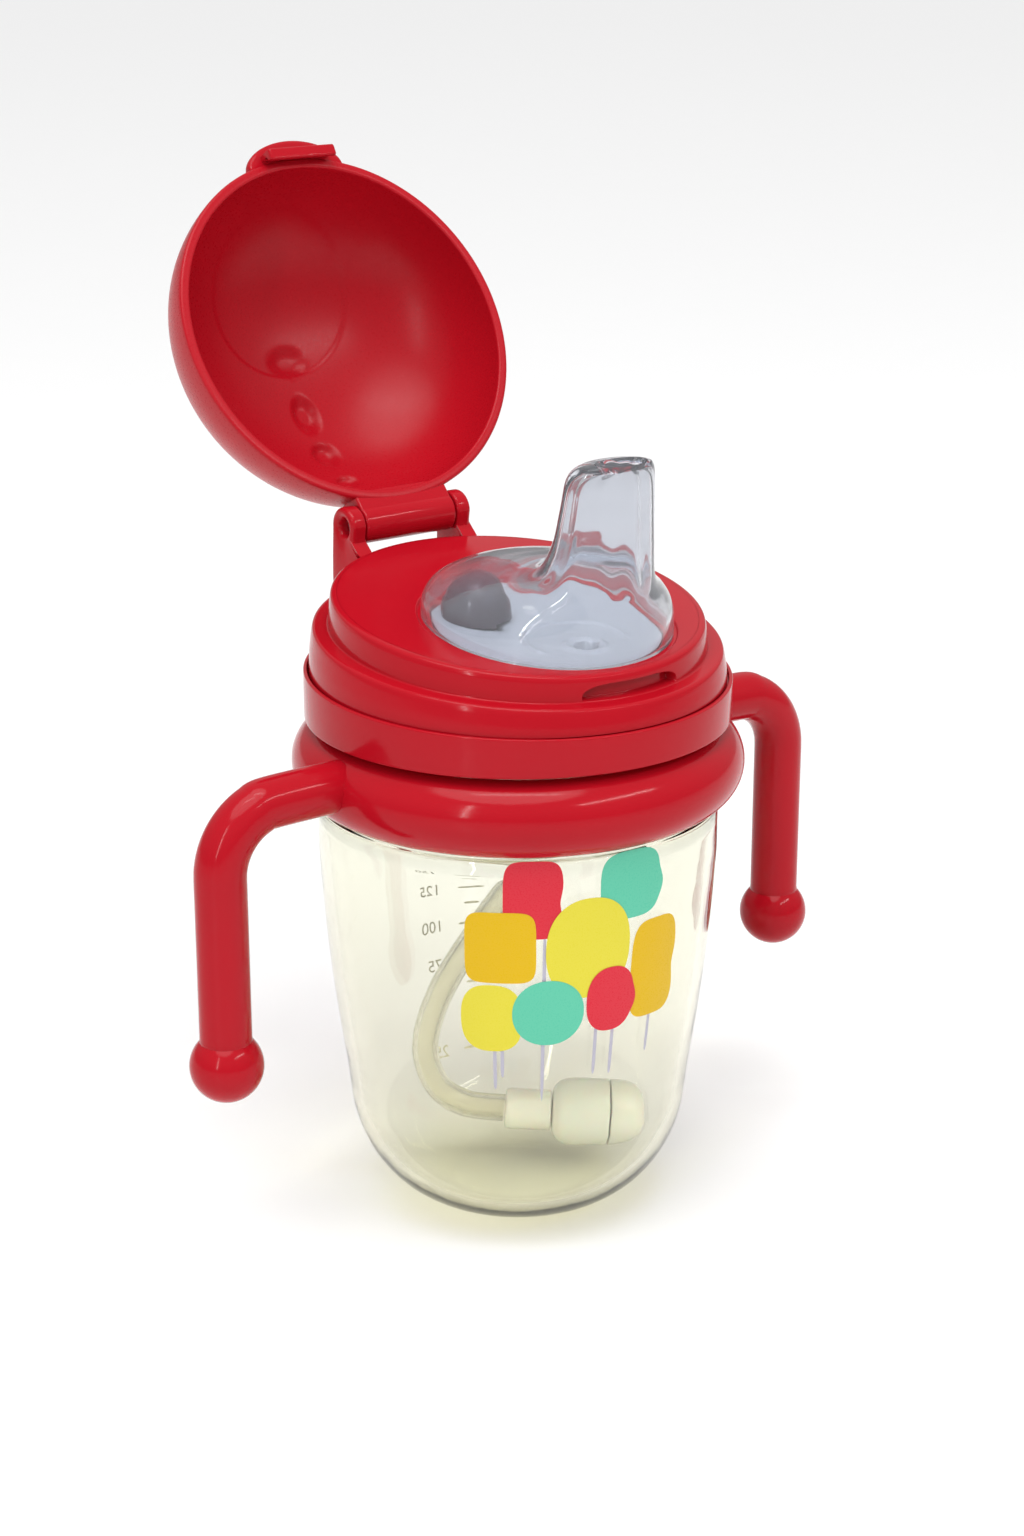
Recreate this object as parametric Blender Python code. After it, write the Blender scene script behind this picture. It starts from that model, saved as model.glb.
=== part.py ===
"""Sippy cup with two handles, a screw-on flip-top lid, a soft spout and a weighted straw.

Every size and place below is in millimetres; MM turns it into Blender's metres. The origin is
the centre of the foot, +Z is up, -Y is the front where the lid latches, and +Y is the hinge side.
"""

import math

import bmesh
import bpy
from mathutils import Matrix, Vector

MM = 0.001

# Driving dimensions.
GAP = 0.3
STEPS = 36
FOOT_R = 12.2
CORNER_R = 19.8
CORNER_H = 24.5
BODY_R = 36.9
BODY_TOP = 70.0
BODY_BOW = 0.7
WALL = 2.0
SHOULDER_Z = 78.8
SADDLE_R = 35.6
SADDLE_TOP = 94.0
NECK_R = 33.9
NECK_TOP = 103.0
NECK_BORE_R = 31.9
THREAD_PITCH = 3.0
THREAD_HALF_W = 0.6
THREAD_DEPTH = 0.9
RING_ARC_R = 7.4
RING_ARC_AT = (34.1, 86.5)
COLLAR_R = 39.0
COLLAR_Z = 94.6
COLLAR_RIM_Z = 103.0
COLLAR_BORE_R = 35.3
RIM_SLOPE = 0.04
LEDGE_Z = 109.8
LEDGE_SLOPE = 0.105
BAND_R = 38.0
SHOULDER_R = 37.1
DECK_R = 34.3
DECK_Z = 115.4
DECK_SLOPE = 0.14
DECK_T = 1.8
DECK_BORE_R = 31.4
HINGE_Y = 37.3
HINGE_Z = 123.6
BARREL_R = 3.6
EAR_R = 3.8
EAR_IN_X = 10.4
EAR_OUT_X = 13.5
PIN_R = 1.5
PIN_BORE_R = 1.58
LID_OPEN_DEG = 129.0
LID_R = 34.9
LID_WALL = 1.9
LID_H = 26.8
LID_POWER = 2.2
SPOUT_Y = -8.8
SPOUT_R = 22.6
SPOUT_WALL = 1.3
SPOUT_HOLE_R = 20.6
DRINK_Y = -20.0
DRINK_R = 1.9
HANDLE_X = 63.5
HANDLE_Z = 88.1
HANDLE_R = 4.65
HANDLE_BEND_R = 12.0
BALL_R = 6.65
BALL_Z = 41.0
SOCKET_R = 3.0
STRAW_R = 2.5
SINKER_START = (-2.2, 1.6, 15.5)
SINKER_AXIS = (0.805, -0.585, -0.06)
SINKER_R = 6.5

# Base colour, roughness, metallic and alpha of each material.
RED = ("red_plastic", (0.60, 0.012, 0.022), 0.25, 0.0, 1.0)
CLEAR = ("tinted_clear_plastic", (0.86, 0.86, 0.62), 0.08, 0.0, 0.35)
SILICONE = ("clear_silicone", (0.78, 0.82, 0.86), 0.15, 0.0, 0.5)
SEAL = ("white_silicone", (0.80, 0.80, 0.78), 0.45, 0.0, 1.0)
GREY = ("grey_silicone", (0.12, 0.12, 0.13), 0.35, 0.0, 1.0)
PALE = ("pale_plastic", (0.62, 0.68, 0.74), 0.3, 0.0, 1.0)
CREAM = ("cream_plastic", (0.80, 0.76, 0.58), 0.35, 0.0, 1.0)
TUBE = ("cream_silicone", (0.82, 0.80, 0.62), 0.3, 0.0, 1.0)
STEEL = ("steel", (0.55, 0.55, 0.57), 0.3, 1.0, 1.0)


def material(spec):
    """The material of that name, made the first time it is asked for."""
    name, colour, roughness, metallic, alpha = spec
    found = bpy.data.materials.get(name)
    if found:
        return found
    made = bpy.data.materials.new(name)
    made.use_nodes = True
    shader = made.node_tree.nodes["Principled BSDF"]
    shader.inputs["Base Color"].default_value = (*colour, 1.0)
    shader.inputs["Roughness"].default_value = roughness
    shader.inputs["Metallic"].default_value = metallic
    shader.inputs["Alpha"].default_value = alpha
    return made


def add(name, bm, spec=None, at=(0, 0, 0)):
    """Links bm as an object, in metres, smooth but for its sharp edges; at is its origin."""
    bmesh.ops.recalc_face_normals(bm, faces=bm.faces)
    bmesh.ops.translate(bm, verts=bm.verts, vec=-Vector(at))
    bmesh.ops.scale(bm, verts=bm.verts, vec=(MM, MM, MM))
    mesh = bpy.data.meshes.new(name)
    bm.to_mesh(mesh)
    bm.free()
    mesh.shade_smooth()
    mesh.set_sharp_from_angle(angle=math.radians(35))
    made = bpy.data.objects.new(name, mesh)
    made.location = Vector(at) * MM
    bpy.context.scene.collection.objects.link(made)
    if spec:
        mesh.materials.append(material(spec))
    return made


def helper(made):
    """Marks a cutter or a shape to be joined, so that it isn't a part itself."""
    made.hide_render = True
    made.display_type = "WIRE"
    return made


def boolean(target, other, operation):
    """Cuts other from target, or joins it to target."""
    modifier = target.modifiers.new(other.name, "BOOLEAN")
    modifier.operation = operation
    modifier.solver = "EXACT"
    modifier.object = helper(other)


def lathe(outline, steps=STEPS):
    """A closed outline of (radius, height, slope) turned about Z; slope tips a point by slope * y.

    A point with no slope is level. Points on the axis close the shape there.
    """
    bm = bmesh.new()
    points = [(p[0], p[1], p[2] if len(p) > 2 else 0.0) for p in outline]
    slope = bm.verts.layers.float.new("slope")
    verts = []
    for radius, height, tip in points:
        vert = bm.verts.new((radius, 0.0, height))
        vert[slope] = tip
        verts.append(vert)
    pairs = list(zip(verts, verts[1:] + verts[:1]))
    edges = [bm.edges.new(p) for p in pairs if p[0].co.x > 0 or p[1].co.x > 0]
    bmesh.ops.spin(bm, geom=verts + edges, cent=(0, 0, 0), axis=(0, 0, 1), angle=math.tau, steps=steps, use_merge=True)
    bmesh.ops.remove_doubles(bm, verts=bm.verts, dist=1e-4)
    for vert in bm.verts:
        vert.co.z += vert[slope] * vert.co.y
    return bm


def skin(rings, capped=True):
    """A closed shape through rings of points, each joined to the next.

    The first and last are capped, or else the last is joined to the first, as on a tube.
    """
    bm = bmesh.new()
    loops = [[bm.verts.new(p) for p in ring] for ring in rings]
    pairs = list(zip(loops, loops[1:]))
    if not capped:
        pairs.append((loops[-1], loops[0]))
    for a, b in pairs:
        for i in range(len(a)):
            j = (i + 1) % len(a)
            bm.faces.new((a[i], a[j], b[j], b[i]))
    if capped:
        bm.faces.new(loops[0][::-1])
        bm.faces.new(loops[-1])
    return bm


def circle(at, radius, across, up, sides):
    """Points round a circle at `at`, in the plane of the two unit vectors."""
    turns = [math.tau * k / sides for k in range(sides)]
    return [at + radius * (math.cos(t) * across + math.sin(t) * up) for t in turns]


def rod(start, end, radius, sides=24):
    """A solid cylinder between two points."""
    a, b = Vector(start), Vector(end)
    along = (b - a).normalized()
    across = along.orthogonal().normalized()
    up = along.cross(across)
    return skin([circle(p, radius, across, up, sides) for p in (a, b)])


def prism(outline, x0, x1):
    """An outline of (y, z) drawn out along X."""
    return skin([[Vector((x, y, z)) for y, z in outline] for x in (x0, x1)])


def arc(at, radius, start, end, count):
    """Points on an arc in a plane, with angles in degrees."""
    turns = [math.radians(start + (end - start) * k / (count - 1)) for k in range(count)]
    return [(at[0] + radius * math.cos(t), at[1] + radius * math.sin(t)) for t in turns]


def body_radius(z):
    """Outer radius of the tumbler's wall above its rounded foot corner."""
    s = min((z - CORNER_H) / (BODY_TOP - CORNER_H), 1.0)
    top = FOOT_R + CORNER_R
    return top + (BODY_R - top) * s + 4 * BODY_BOW * s * (1 - s)


def thread(name, wall_r, crest_r, z0, turns, into):
    """A right-hand helical ridge, rooted `into` behind wall_r and rising to crest_r."""
    count = round(turns * STEPS)
    root = wall_r + into
    rings = []
    for k in range(count + 1):
        turn = math.tau * (k + 0.5) / STEPS
        z = z0 + THREAD_PITCH * turn / math.tau
        fade = min(1.0, k / 4 + 0.15, (count - k) / 4 + 0.15)
        crest = wall_r + (crest_r - wall_r) * fade
        section = (
            (root, z - THREAD_HALF_W),
            (crest, z - THREAD_HALF_W / 2),
            (crest, z + THREAD_HALF_W / 2),
            (root, z + THREAD_HALF_W),
        )
        rings.append([Vector((r * math.cos(turn), r * math.sin(turn), h)) for r, h in section])
    return helper(add(name, skin(rings)))


def make_cup_body():
    """Tumbler with a rounded foot, a saddle for the handle ring and a threaded neck."""
    outer = [(0, 0)]
    outer += [(FOOT_R + CORNER_R * math.sin(t), CORNER_H * (1 - math.cos(t))) for t in turns(0, 90, 8)]
    outer += [(body_radius(z), z) for z in (35, 46, 58, BODY_TOP)]
    outer += [(BODY_R, SHOULDER_Z - 0.6), (BODY_R - 0.5, SHOULDER_Z), (SADDLE_R, SHOULDER_Z)]
    outer += [(SADDLE_R, SADDLE_TOP - 0.4), (SADDLE_R - 0.4, SADDLE_TOP), (NECK_R, SADDLE_TOP)]
    outer += [(NECK_R, NECK_TOP - 0.4), (NECK_R - 0.4, NECK_TOP)]
    inner = [(NECK_BORE_R + 0.4, NECK_TOP), (NECK_BORE_R, NECK_TOP - 0.4), (NECK_BORE_R, SADDLE_TOP - 1)]
    inner += [(SADDLE_R - WALL, SADDLE_TOP - 4), (SADDLE_R - WALL, SHOULDER_Z + 1)]
    inner += [(BODY_R - WALL, SHOULDER_Z - 3)]
    inner += [(body_radius(z) - WALL, z) for z in (BODY_TOP, 58, 46, 35)]
    floor = WALL * 1.25
    for t in turns(90, 0, 8):
        drop = WALL + (floor - WALL) * math.cos(t)
        radius = FOOT_R + (CORNER_R - WALL) * math.sin(t)
        inner.append((radius, CORNER_H - (CORNER_H - drop) * math.cos(t)))
    inner.append((0, floor))
    body = add("cup_body", lathe(outer + inner), CLEAR)
    ridge = thread("neck_thread", NECK_R, NECK_R + THREAD_DEPTH, 96.2, 0.65, -0.8)
    boolean(body, ridge, "UNION")


def turns(start, end, count):
    """Angles in radians from start to end, given in degrees."""
    return [math.radians(start + (end - start) * k / (count - 1)) for k in range(count)]


def ring_section(inner_r, grow):
    """The handle ring's D section; grow makes it that much fatter."""
    radius = RING_ARC_R + grow
    half = math.degrees(math.acos((inner_r - RING_ARC_AT[0]) / radius))
    return arc(RING_ARC_AT, radius, half, -half, 13)


def make_handles():
    """Ring on the cup's saddle, two bent hollow arms let into it, and the balls that close them."""
    ring = add("handle_ring", lathe(ring_section(SADDLE_R + GAP, 0)), RED)
    for side, label in ((-1, "left"), (1, "right")):
        socket = rod((side * 36.8, 0, HANDLE_Z), (side * 46, 0, HANDLE_Z), SOCKET_R + GAP)
        boolean(ring, add(label + "_socket", socket), "DIFFERENCE")
        arm = add(label + "_handle", hollow_arm(side), RED)
        envelope = add(label + "_envelope", lathe(ring_section(33.5, GAP)))
        boolean(arm, envelope, "DIFFERENCE")
        spigot = rod((side * 37.1, 0, HANDLE_Z), (side * 44.5, 0, HANDLE_Z), SOCKET_R, 16)
        boolean(arm, add(label + "_spigot", spigot), "UNION")
        add(label + "_handle_ball", ball_cap(), RED, at=(0, 0, 0)).location.x = side * HANDLE_X * MM


def hollow_arm(side):
    """Arm from the ring, round the bend and down to the ball; bored up from its lower end."""
    end_z = BALL_Z + math.sqrt(BALL_R**2 - HANDLE_R**2) + GAP
    bend = (HANDLE_X - HANDLE_BEND_R, HANDLE_Z - HANDLE_BEND_R)
    path = [(38.5, HANDLE_Z, 90.0), (44.0, HANDLE_Z, 90.0)]
    for angle in (90, 75, 60, 45, 30, 15, 0):
        x, z = arc(bend, HANDLE_BEND_R, angle, angle, 2)[0]
        path.append((x, z, float(angle)))
    path += [(HANDLE_X, 62.0, 0.0), (HANDLE_X, end_z, 0.0)]
    bore = HANDLE_R - 1.6

    def ring(x, z, angle, radius):
        across = Vector((side * math.cos(math.radians(angle)), 0, math.sin(math.radians(angle))))
        return circle(Vector((side * x, 0, z)), radius, across, Vector((0, 1, 0)), 16)

    rings = [ring(*p, HANDLE_R) for p in path]
    rings += [ring(*p, bore) for p in path[:1:-1]]
    return skin(rings)


def ball_cap():
    """Ball with a flat where the arm ends and a plug that goes up the arm's bore."""
    top = math.degrees(math.asin(math.sqrt(BALL_R**2 - HANDLE_R**2) / BALL_R))
    outline = [(0, BALL_Z - BALL_R)] + arc((0, BALL_Z), BALL_R, -80, top, 11)
    flat_z = outline[-1][1]
    plug_r = HANDLE_R - 1.6 - GAP
    return lathe(outline + [(plug_r, flat_z), (plug_r, flat_z + 4), (0, flat_z + 4)], 24)


def make_screw_collar():
    """Lower band: threaded inside, with a shelf that draws the lid base down. Its rim slopes."""
    outline = [
        (COLLAR_BORE_R, COLLAR_Z),
        (COLLAR_R - 0.4, COLLAR_Z),
        (COLLAR_R, COLLAR_Z + 0.4),
        (COLLAR_R, COLLAR_RIM_Z - 0.3, RIM_SLOPE),
        (COLLAR_R - 0.25, COLLAR_RIM_Z, RIM_SLOPE),
        (BAND_R + GAP, COLLAR_RIM_Z, RIM_SLOPE),
        (BAND_R + GAP, 101.2),
        (35.8, 101.2),
        (35.8, 100.0),
        (36.7, 99.9),
        (36.7, 98.7),
        (COLLAR_BORE_R, 98.5),
    ]
    collar = add("screw_collar", lathe(outline), RED)
    crest = NECK_R + GAP
    ridge = thread("collar_thread", COLLAR_BORE_R, crest, 95.4, 0.8, 1.2)
    boolean(collar, ridge, "UNION")


def deck(y, lift=0.0):
    """Height of the sloping deck at y."""
    return DECK_Z + DECK_SLOPE * y + lift


def make_lid_base():
    """Upper band with its ledge, the raised sloping deck, the latch slot and the hinge ears."""
    outline = [
        (DECK_R, 99.0),
        (36.4, 99.0),
        (36.4, 99.7),
        (35.5, 99.9),
        (35.5, 101.6),
        (BAND_R, 101.6),
        (BAND_R, COLLAR_RIM_Z, RIM_SLOPE),
        (37.8, 106.0, 0.08),
        (37.4, 108.6, 0.1),
        (SHOULDER_R, LEDGE_Z - 0.2, LEDGE_SLOPE),
        (SHOULDER_R - 0.5, LEDGE_Z, LEDGE_SLOPE),
        (DECK_R, LEDGE_Z, LEDGE_SLOPE),
        (DECK_R - 0.3, DECK_Z - 1.2, 0.13),
        (DECK_R - 0.7, DECK_Z - 0.4, 0.135),
        (DECK_R - 1.5, DECK_Z, DECK_SLOPE),
        (0, DECK_Z, DECK_SLOPE),
        (0, DECK_Z - DECK_T, DECK_SLOPE),
        (DECK_BORE_R - 0.4, DECK_Z - DECK_T, DECK_SLOPE),
        (DECK_BORE_R, DECK_Z - DECK_T - 0.4, 0.135),
        (DECK_BORE_R, 104.3),
        (DECK_R, 104.3),
    ]
    base = add("lid_base", lathe(outline), RED)
    opening = add("spout_opening", rod((0, SPOUT_Y, 100), (0, SPOUT_Y, 130), SPOUT_HOLE_R, STEPS))
    boolean(base, opening, "DIFFERENCE")
    recess = [(0, -0.4), (SPOUT_R + 0.5, -0.4), (SPOUT_R + 0.9, 3), (0, 3)]
    cut = add("spout_recess", lathe([(r, z, DECK_SLOPE) for r, z in recess]))
    cut.location = Vector((0, SPOUT_Y, deck(SPOUT_Y))) * MM
    boolean(base, cut, "DIFFERENCE")
    boolean(base, add("latch_slot", slot_cutter()), "DIFFERENCE")
    for side, label in ((-1, "left"), (1, "right")):
        ear = prism(ear_outline(), side * EAR_IN_X, side * EAR_OUT_X)
        boolean(base, add(label + "_ear", ear), "UNION")
    bore = rod((-20, HINGE_Y, HINGE_Z), (20, HINGE_Y, HINGE_Z), PIN_BORE_R)
    boolean(base, add("ear_bore", bore), "DIFFERENCE")


def ear_outline():
    """Hinge ear from the side: round head, straight back, and a foot down the band's outside."""
    head = arc((HINGE_Y, HINGE_Z), EAR_R, 0, 180, 11)
    front = [
        (HINGE_Y - 3.3, HINGE_Z - 2.2),
        (HINGE_Y - 3.5, HINGE_Z - 4.1),
        (31.2, DECK_Z + 4.2),
        (31.2, LEDGE_Z - 0.8),
    ]
    foot = [(36.0, LEDGE_Z - 3.0), (38.2, LEDGE_Z - 3.2), (HINGE_Y + EAR_R, LEDGE_Z + 1.7)]
    return head + front + foot


def slot_cutter():
    """The latch slot: a shallow arched pocket round the front of the deck's wall."""
    half = math.asin(10.5 / DECK_R)
    rings = []
    for k in range(17):
        share = -1 + k / 8
        angle = -math.pi / 2 + half * share
        height = 0.6 + 2.1 * math.sqrt(max(0.0, 1 - share**4))
        ring = []
        for radius, lift in ((32.3, 0.0), (36.0, 0.0), (36.0, height), (32.3, height)):
            x, y = radius * math.cos(angle), radius * math.sin(angle)
            ring.append(Vector((x, y, LEDGE_Z + LEDGE_SLOPE * y + 0.25 + lift)))
        rings.append(ring)
    return skin(rings)


def dome_outline(radius, height):
    """Half a rounded dome, from its rim to its crown."""
    rows = []
    for t in turns(0, 90, 10):
        across = math.cos(t) ** (2 / LID_POWER)
        up = math.sin(t) ** (2 / LID_POWER)
        rows.append((radius * across, height * up))
    rows[-1] = (0, height)
    return rows


def make_flip_lid():
    """Dome lid on its hinge: built shut, round the hinge axis, then swung open as it rests."""
    axis = bpy.data.objects.new("lid_axis", None)
    axis.location = Vector((0, HINGE_Y, HINGE_Z)) * MM
    axis.rotation_euler.x = -math.radians(LID_OPEN_DEG)
    bpy.context.scene.collection.objects.link(axis)

    shut = Matrix.Translation((0, -HINGE_Y, deck(0, GAP) - HINGE_Z))
    shut = shut @ Matrix.Rotation(math.atan(DECK_SLOPE), 4, "X")

    def on_lid(name, bm, spec=None, move=shut):
        bmesh.ops.transform(bm, matrix=move, verts=bm.verts)
        made = add(name, bm, spec)
        made.parent = axis
        return made

    outer = dome_outline(LID_R, LID_H)
    inner = dome_outline(LID_R - LID_WALL, LID_H - LID_WALL)
    lid = on_lid("flip_lid", lathe(outer + inner[::-1]), RED)
    web = [(-5.6, -2.9), (0.0, -BARREL_R), (0.0, BARREL_R), (-5.0, 4.6)]
    bare = Matrix.Identity(4)
    boolean(lid, on_lid("lid_web", prism(web, -10.1, 10.1), move=bare), "UNION")
    boolean(lid, on_lid("lid_barrel", rod((-10.1, 0, 0), (10.1, 0, 0), BARREL_R), move=bare), "UNION")
    tab = [(x, y) for x, y in arc((0, 0), 1.0, 0, 360, 25)[:-1]]
    plate = skin([[Vector((10.5 * x, -32.3 + 6.4 * y, z)) for x, y in tab] for z in (0.3, 2.5)])
    boolean(lid, on_lid("thumb_tab", plate), "UNION")
    hook = [(-36.0, 1.5), (-34.75, 1.5), (-34.75, -2.0), (-33.7, -2.2), (-33.7, -3.3), (-36.0, -3.3)]
    boolean(lid, on_lid("latch_hook", prism(hook, -7.4, 7.4)), "UNION")
    boolean(lid, on_lid("lid_hollow", lathe([(0, 0.0)] + inner)), "DIFFERENCE")
    boolean(lid, on_lid("lid_bore", rod((-20, 0, 0), (20, 0, 0), PIN_BORE_R), move=bare), "DIFFERENCE")
    half = EAR_OUT_X - 1.0
    pin = rod((-half, HINGE_Y, HINGE_Z), (half, HINGE_Y, HINGE_Z), PIN_R)
    add("hinge_pin", pin, STEEL, at=(0, HINGE_Y, HINGE_Z))


def spout_rings(inset):
    """Rings up the spout: the round base draws in over the dome to the flat upright mouthpiece.

    Each row is (height over the seat, half width, half depth); the front stays nearly plumb.
    """
    rows = [
        (0.0, 22.6, 22.6),
        (2.8, 22.4, 22.4),
        (5.5, 21.2, 21.2),
        (8.0, 18.4, 18.6),
        (9.8, 15.2, 14.9),
        (11.3, 12.6, 11.2),
        (13.6, 10.8, 8.6),
        (18.4, 9.8, 6.9),
        (24.5, 9.2, 6.0),
        (29.8, 8.7, 5.3),
        (32.0, 7.5, 4.2),
        (32.8, 5.4, 2.6),
    ]
    rings = []
    for height, half_x, half_y in rows:
        front = SPOUT_Y - SPOUT_R - 0.02 * height
        centre = front + half_y
        slope = DECK_SLOPE * (1 - height / 60)
        up = height - (inset if height > 6 else inset * height / 6)
        ring = []
        for t in turns(0, 360, STEPS + 1)[:-1]:
            x = (half_x - inset) * math.cos(t)
            y = centre + (half_y - inset) * math.sin(t)
            ring.append(Vector((x, y, deck(0, GAP - 0.4) + slope * y + up)))
        rings.append(ring)
    return rings


def make_spout():
    """Soft spout: one skin of even wall, open below and through the slot at its tip."""
    wall = spout_rings(0) + spout_rings(SPOUT_WALL)[::-1]
    add("spout", skin(wall, capped=False), SILICONE)


def make_under_spout():
    """Floor under the spout with its drinking hole, the vent valve on it and the straw's nipple."""
    plate = [
        (0, -0.6),
        (SPOUT_HOLE_R - GAP - 0.4, -0.6),
        (SPOUT_HOLE_R - GAP, -1.0),
        (SPOUT_HOLE_R - GAP, -DECK_T - GAP),
        (22.0, -DECK_T - GAP),
        (22.0, -3.5),
        (0, -3.5),
    ]
    insert = add("spout_insert", lathe([(r, z, DECK_SLOPE) for r, z in plate]), PALE)
    insert.location = Vector((0, SPOUT_Y, deck(SPOUT_Y))) * MM
    hole = add("drink_hole", rod((0, DRINK_Y, 95), (0, DRINK_Y, 120), DRINK_R))
    boolean(insert, hole, "DIFFERENCE")
    dome = [(0, 6.6)] + [(r, z) for r, z in arc((0, 0.6), 6.0, 80, 0, 7)] + [(6.0, 0.0), (0, 0.0)]
    valve = add("vent_valve", lathe([(r, z, DECK_SLOPE if z < 1 else 0) for r, z in dome], 24), GREY)
    valve.location = Vector((-9.0, 0, deck(0, -GAP))) * MM
    top = -3.5 - GAP
    foot = 98.0 + GAP - deck(DRINK_Y)
    nipple = [
        (1.2, foot),
        (2.9, foot),
        (2.9, top - 4.5),
        (5.4, top - 1.2, DECK_SLOPE),
        (5.4, top, DECK_SLOPE),
        (DRINK_R, top, DECK_SLOPE),
        (1.2, top - 3.5),
    ]
    adapter = add("straw_adapter", lathe(nipple, 24), PALE)
    adapter.location = Vector((0, DRINK_Y, deck(DRINK_Y))) * MM


def make_lid_gasket():
    """Seal between the cup's rim and the lid base."""
    low, high = NECK_TOP + GAP, 104.3 - GAP
    outline = [(31.6, low), (34.0, low), (34.0, high), (31.6, high)]
    add("lid_gasket", lathe(outline), SEAL)


def straw_route():
    """Where the straw runs: out of the nipple, round one side of the cup and into the sleeve."""
    return [
        (0.0, -20.0, 98.0),
        (-0.4, -18.6, 88.0),
        (-1.8, -12.6, 76.0),
        (-4.4, -4.6, 64.0),
        (-8.8, 1.8, 52.0),
        (-13.6, 5.8, 41.0),
        (-15.8, 8.0, 30.0),
        (-13.2, 8.2, 21.0),
        (-8.2, 5.9, 16.6),
        SINKER_START,
    ]


def smooth(points, per_span):
    """A Catmull-Rom curve through the points."""
    ends = [2 * points[0] - points[1]] + points + [2 * points[-1] - points[-2]]
    out = []
    for a, b, c, d in zip(ends, ends[1:], ends[2:], ends[3:]):
        for k in range(per_span):
            t = k / per_span
            out.append(0.5 * (2 * b + (c - a) * t + (2 * a - 5 * b + 4 * c - d) * t**2 + (3 * b - a - 3 * c + d) * t**3))
    return out + [points[-1]]


def make_straw_tube():
    """Soft tube from the nipple to the sinker's sleeve."""
    points = smooth([Vector(p) for p in straw_route()], 2)
    curve = bpy.data.curves.new("straw_tube", "CURVE")
    curve.dimensions = "3D"
    curve.bevel_depth = STRAW_R * MM
    curve.bevel_resolution = 2
    curve.use_fill_caps = True
    spline = curve.splines.new("POLY")
    spline.points.add(len(points) - 1)
    for place, point in zip(spline.points, points):
        place.co = (*(point * MM), 1.0)
    curve.materials.append(material(TUBE))
    tube = bpy.data.objects.new("straw_tube", curve)
    bpy.context.scene.collection.objects.link(tube)


def make_sinker():
    """Weight at the straw's end: sleeve, two-part shell, steel ring and inlet valve, on one axis."""
    along = Vector(SINKER_AXIS).normalized()
    place = Matrix.Translation(Vector(SINKER_START) * MM) @ along.to_track_quat("Z", "Y").to_matrix().to_4x4()
    bore = 1.4
    split = 20.0
    parts = {
        "straw_sleeve": (CREAM, [(bore, 0.3), (3.6, 0.3), (3.9, 0.7), (3.9, 9.0), (bore, 9.0)]),
        "weight_housing": (
            CREAM,
            [(bore, 9.3), (4.2, 9.3), (5.7, 10.4), (SINKER_R, 12.6), (SINKER_R, split)]
            + [(5.2, split), (5.2, 12.3), (bore, 12.3)],
        ),
        "steel_weight": (STEEL, [(1.7, 12.6), (4.9, 12.6), (4.9, split - 0.3), (1.7, split - 0.3)]),
        "weight_cap": (
            CREAM,
            [(4.6, split + GAP), (SINKER_R, split + GAP), (SINKER_R, 23.0), (5.8, 25.2)]
            + [(4.3, 26.6), (2.4, 27.0), (1.7, 27.0), (1.7, 24.6), (4.6, 24.0)],
        ),
        "check_valve": (
            SEAL,
            [(0, 20.7), (4.2, 20.7), (4.2, 21.7), (2.0, 21.9), (1.0, 24.0), (0, 24.2)],
        ),
    }
    for name, (spec, outline) in parts.items():
        add(name, lathe(outline, 24), spec).matrix_world = place


def main():
    for old in list(bpy.data.objects):
        bpy.data.objects.remove(old)
    make_cup_body()
    make_handles()
    make_screw_collar()
    make_lid_base()
    make_flip_lid()
    make_spout()
    make_under_spout()
    make_lid_gasket()
    make_straw_tube()
    make_sinker()


if __name__ == "__main__":
    main()
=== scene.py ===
"""Sippy cup: the finished surfaces, materials, stage and camera, laid out as a Blender add-on.

Sizes in the code are millimetres, and MM turns them into Blender's metres. The origin is the
centre of the foot, +Z is up, -Y is the front with the spout and latch, +Y is the hinge side.
"""

import math

import bpy
import numpy as np
from bpy.props import FloatProperty, FloatVectorProperty, PointerProperty
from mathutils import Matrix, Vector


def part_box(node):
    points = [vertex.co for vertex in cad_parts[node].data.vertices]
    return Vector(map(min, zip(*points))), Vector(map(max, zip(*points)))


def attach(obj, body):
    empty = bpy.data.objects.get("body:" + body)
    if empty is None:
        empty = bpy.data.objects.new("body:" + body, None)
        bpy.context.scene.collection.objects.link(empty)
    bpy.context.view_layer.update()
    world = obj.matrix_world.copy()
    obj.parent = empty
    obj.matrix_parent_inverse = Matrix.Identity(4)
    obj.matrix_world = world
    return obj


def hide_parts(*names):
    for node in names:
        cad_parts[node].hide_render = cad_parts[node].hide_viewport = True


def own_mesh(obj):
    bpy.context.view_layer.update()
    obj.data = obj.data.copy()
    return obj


bl_info = {
    "name": "Sippy cup",
    "version": (1, 0, 0),
    "blender": (4, 5, 0),
    "location": "View3D > Sidebar > Sippy cup",
    "description": "Builds the outer surfaces and finishes of a toddler's flip-lid drinking cup",
    "category": "Object",
}

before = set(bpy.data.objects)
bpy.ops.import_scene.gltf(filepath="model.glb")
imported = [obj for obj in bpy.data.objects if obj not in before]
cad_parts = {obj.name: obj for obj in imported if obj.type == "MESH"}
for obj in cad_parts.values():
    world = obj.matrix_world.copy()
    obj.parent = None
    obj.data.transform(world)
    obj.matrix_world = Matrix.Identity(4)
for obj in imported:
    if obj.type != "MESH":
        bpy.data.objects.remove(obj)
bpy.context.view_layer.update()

MM = 0.001
TAU = math.tau


def corner_mm(node):
    """Lowest and highest corner of a CAD node, in millimetres."""
    low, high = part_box(node)
    return np.array(low) / MM, np.array(high) / MM


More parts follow.
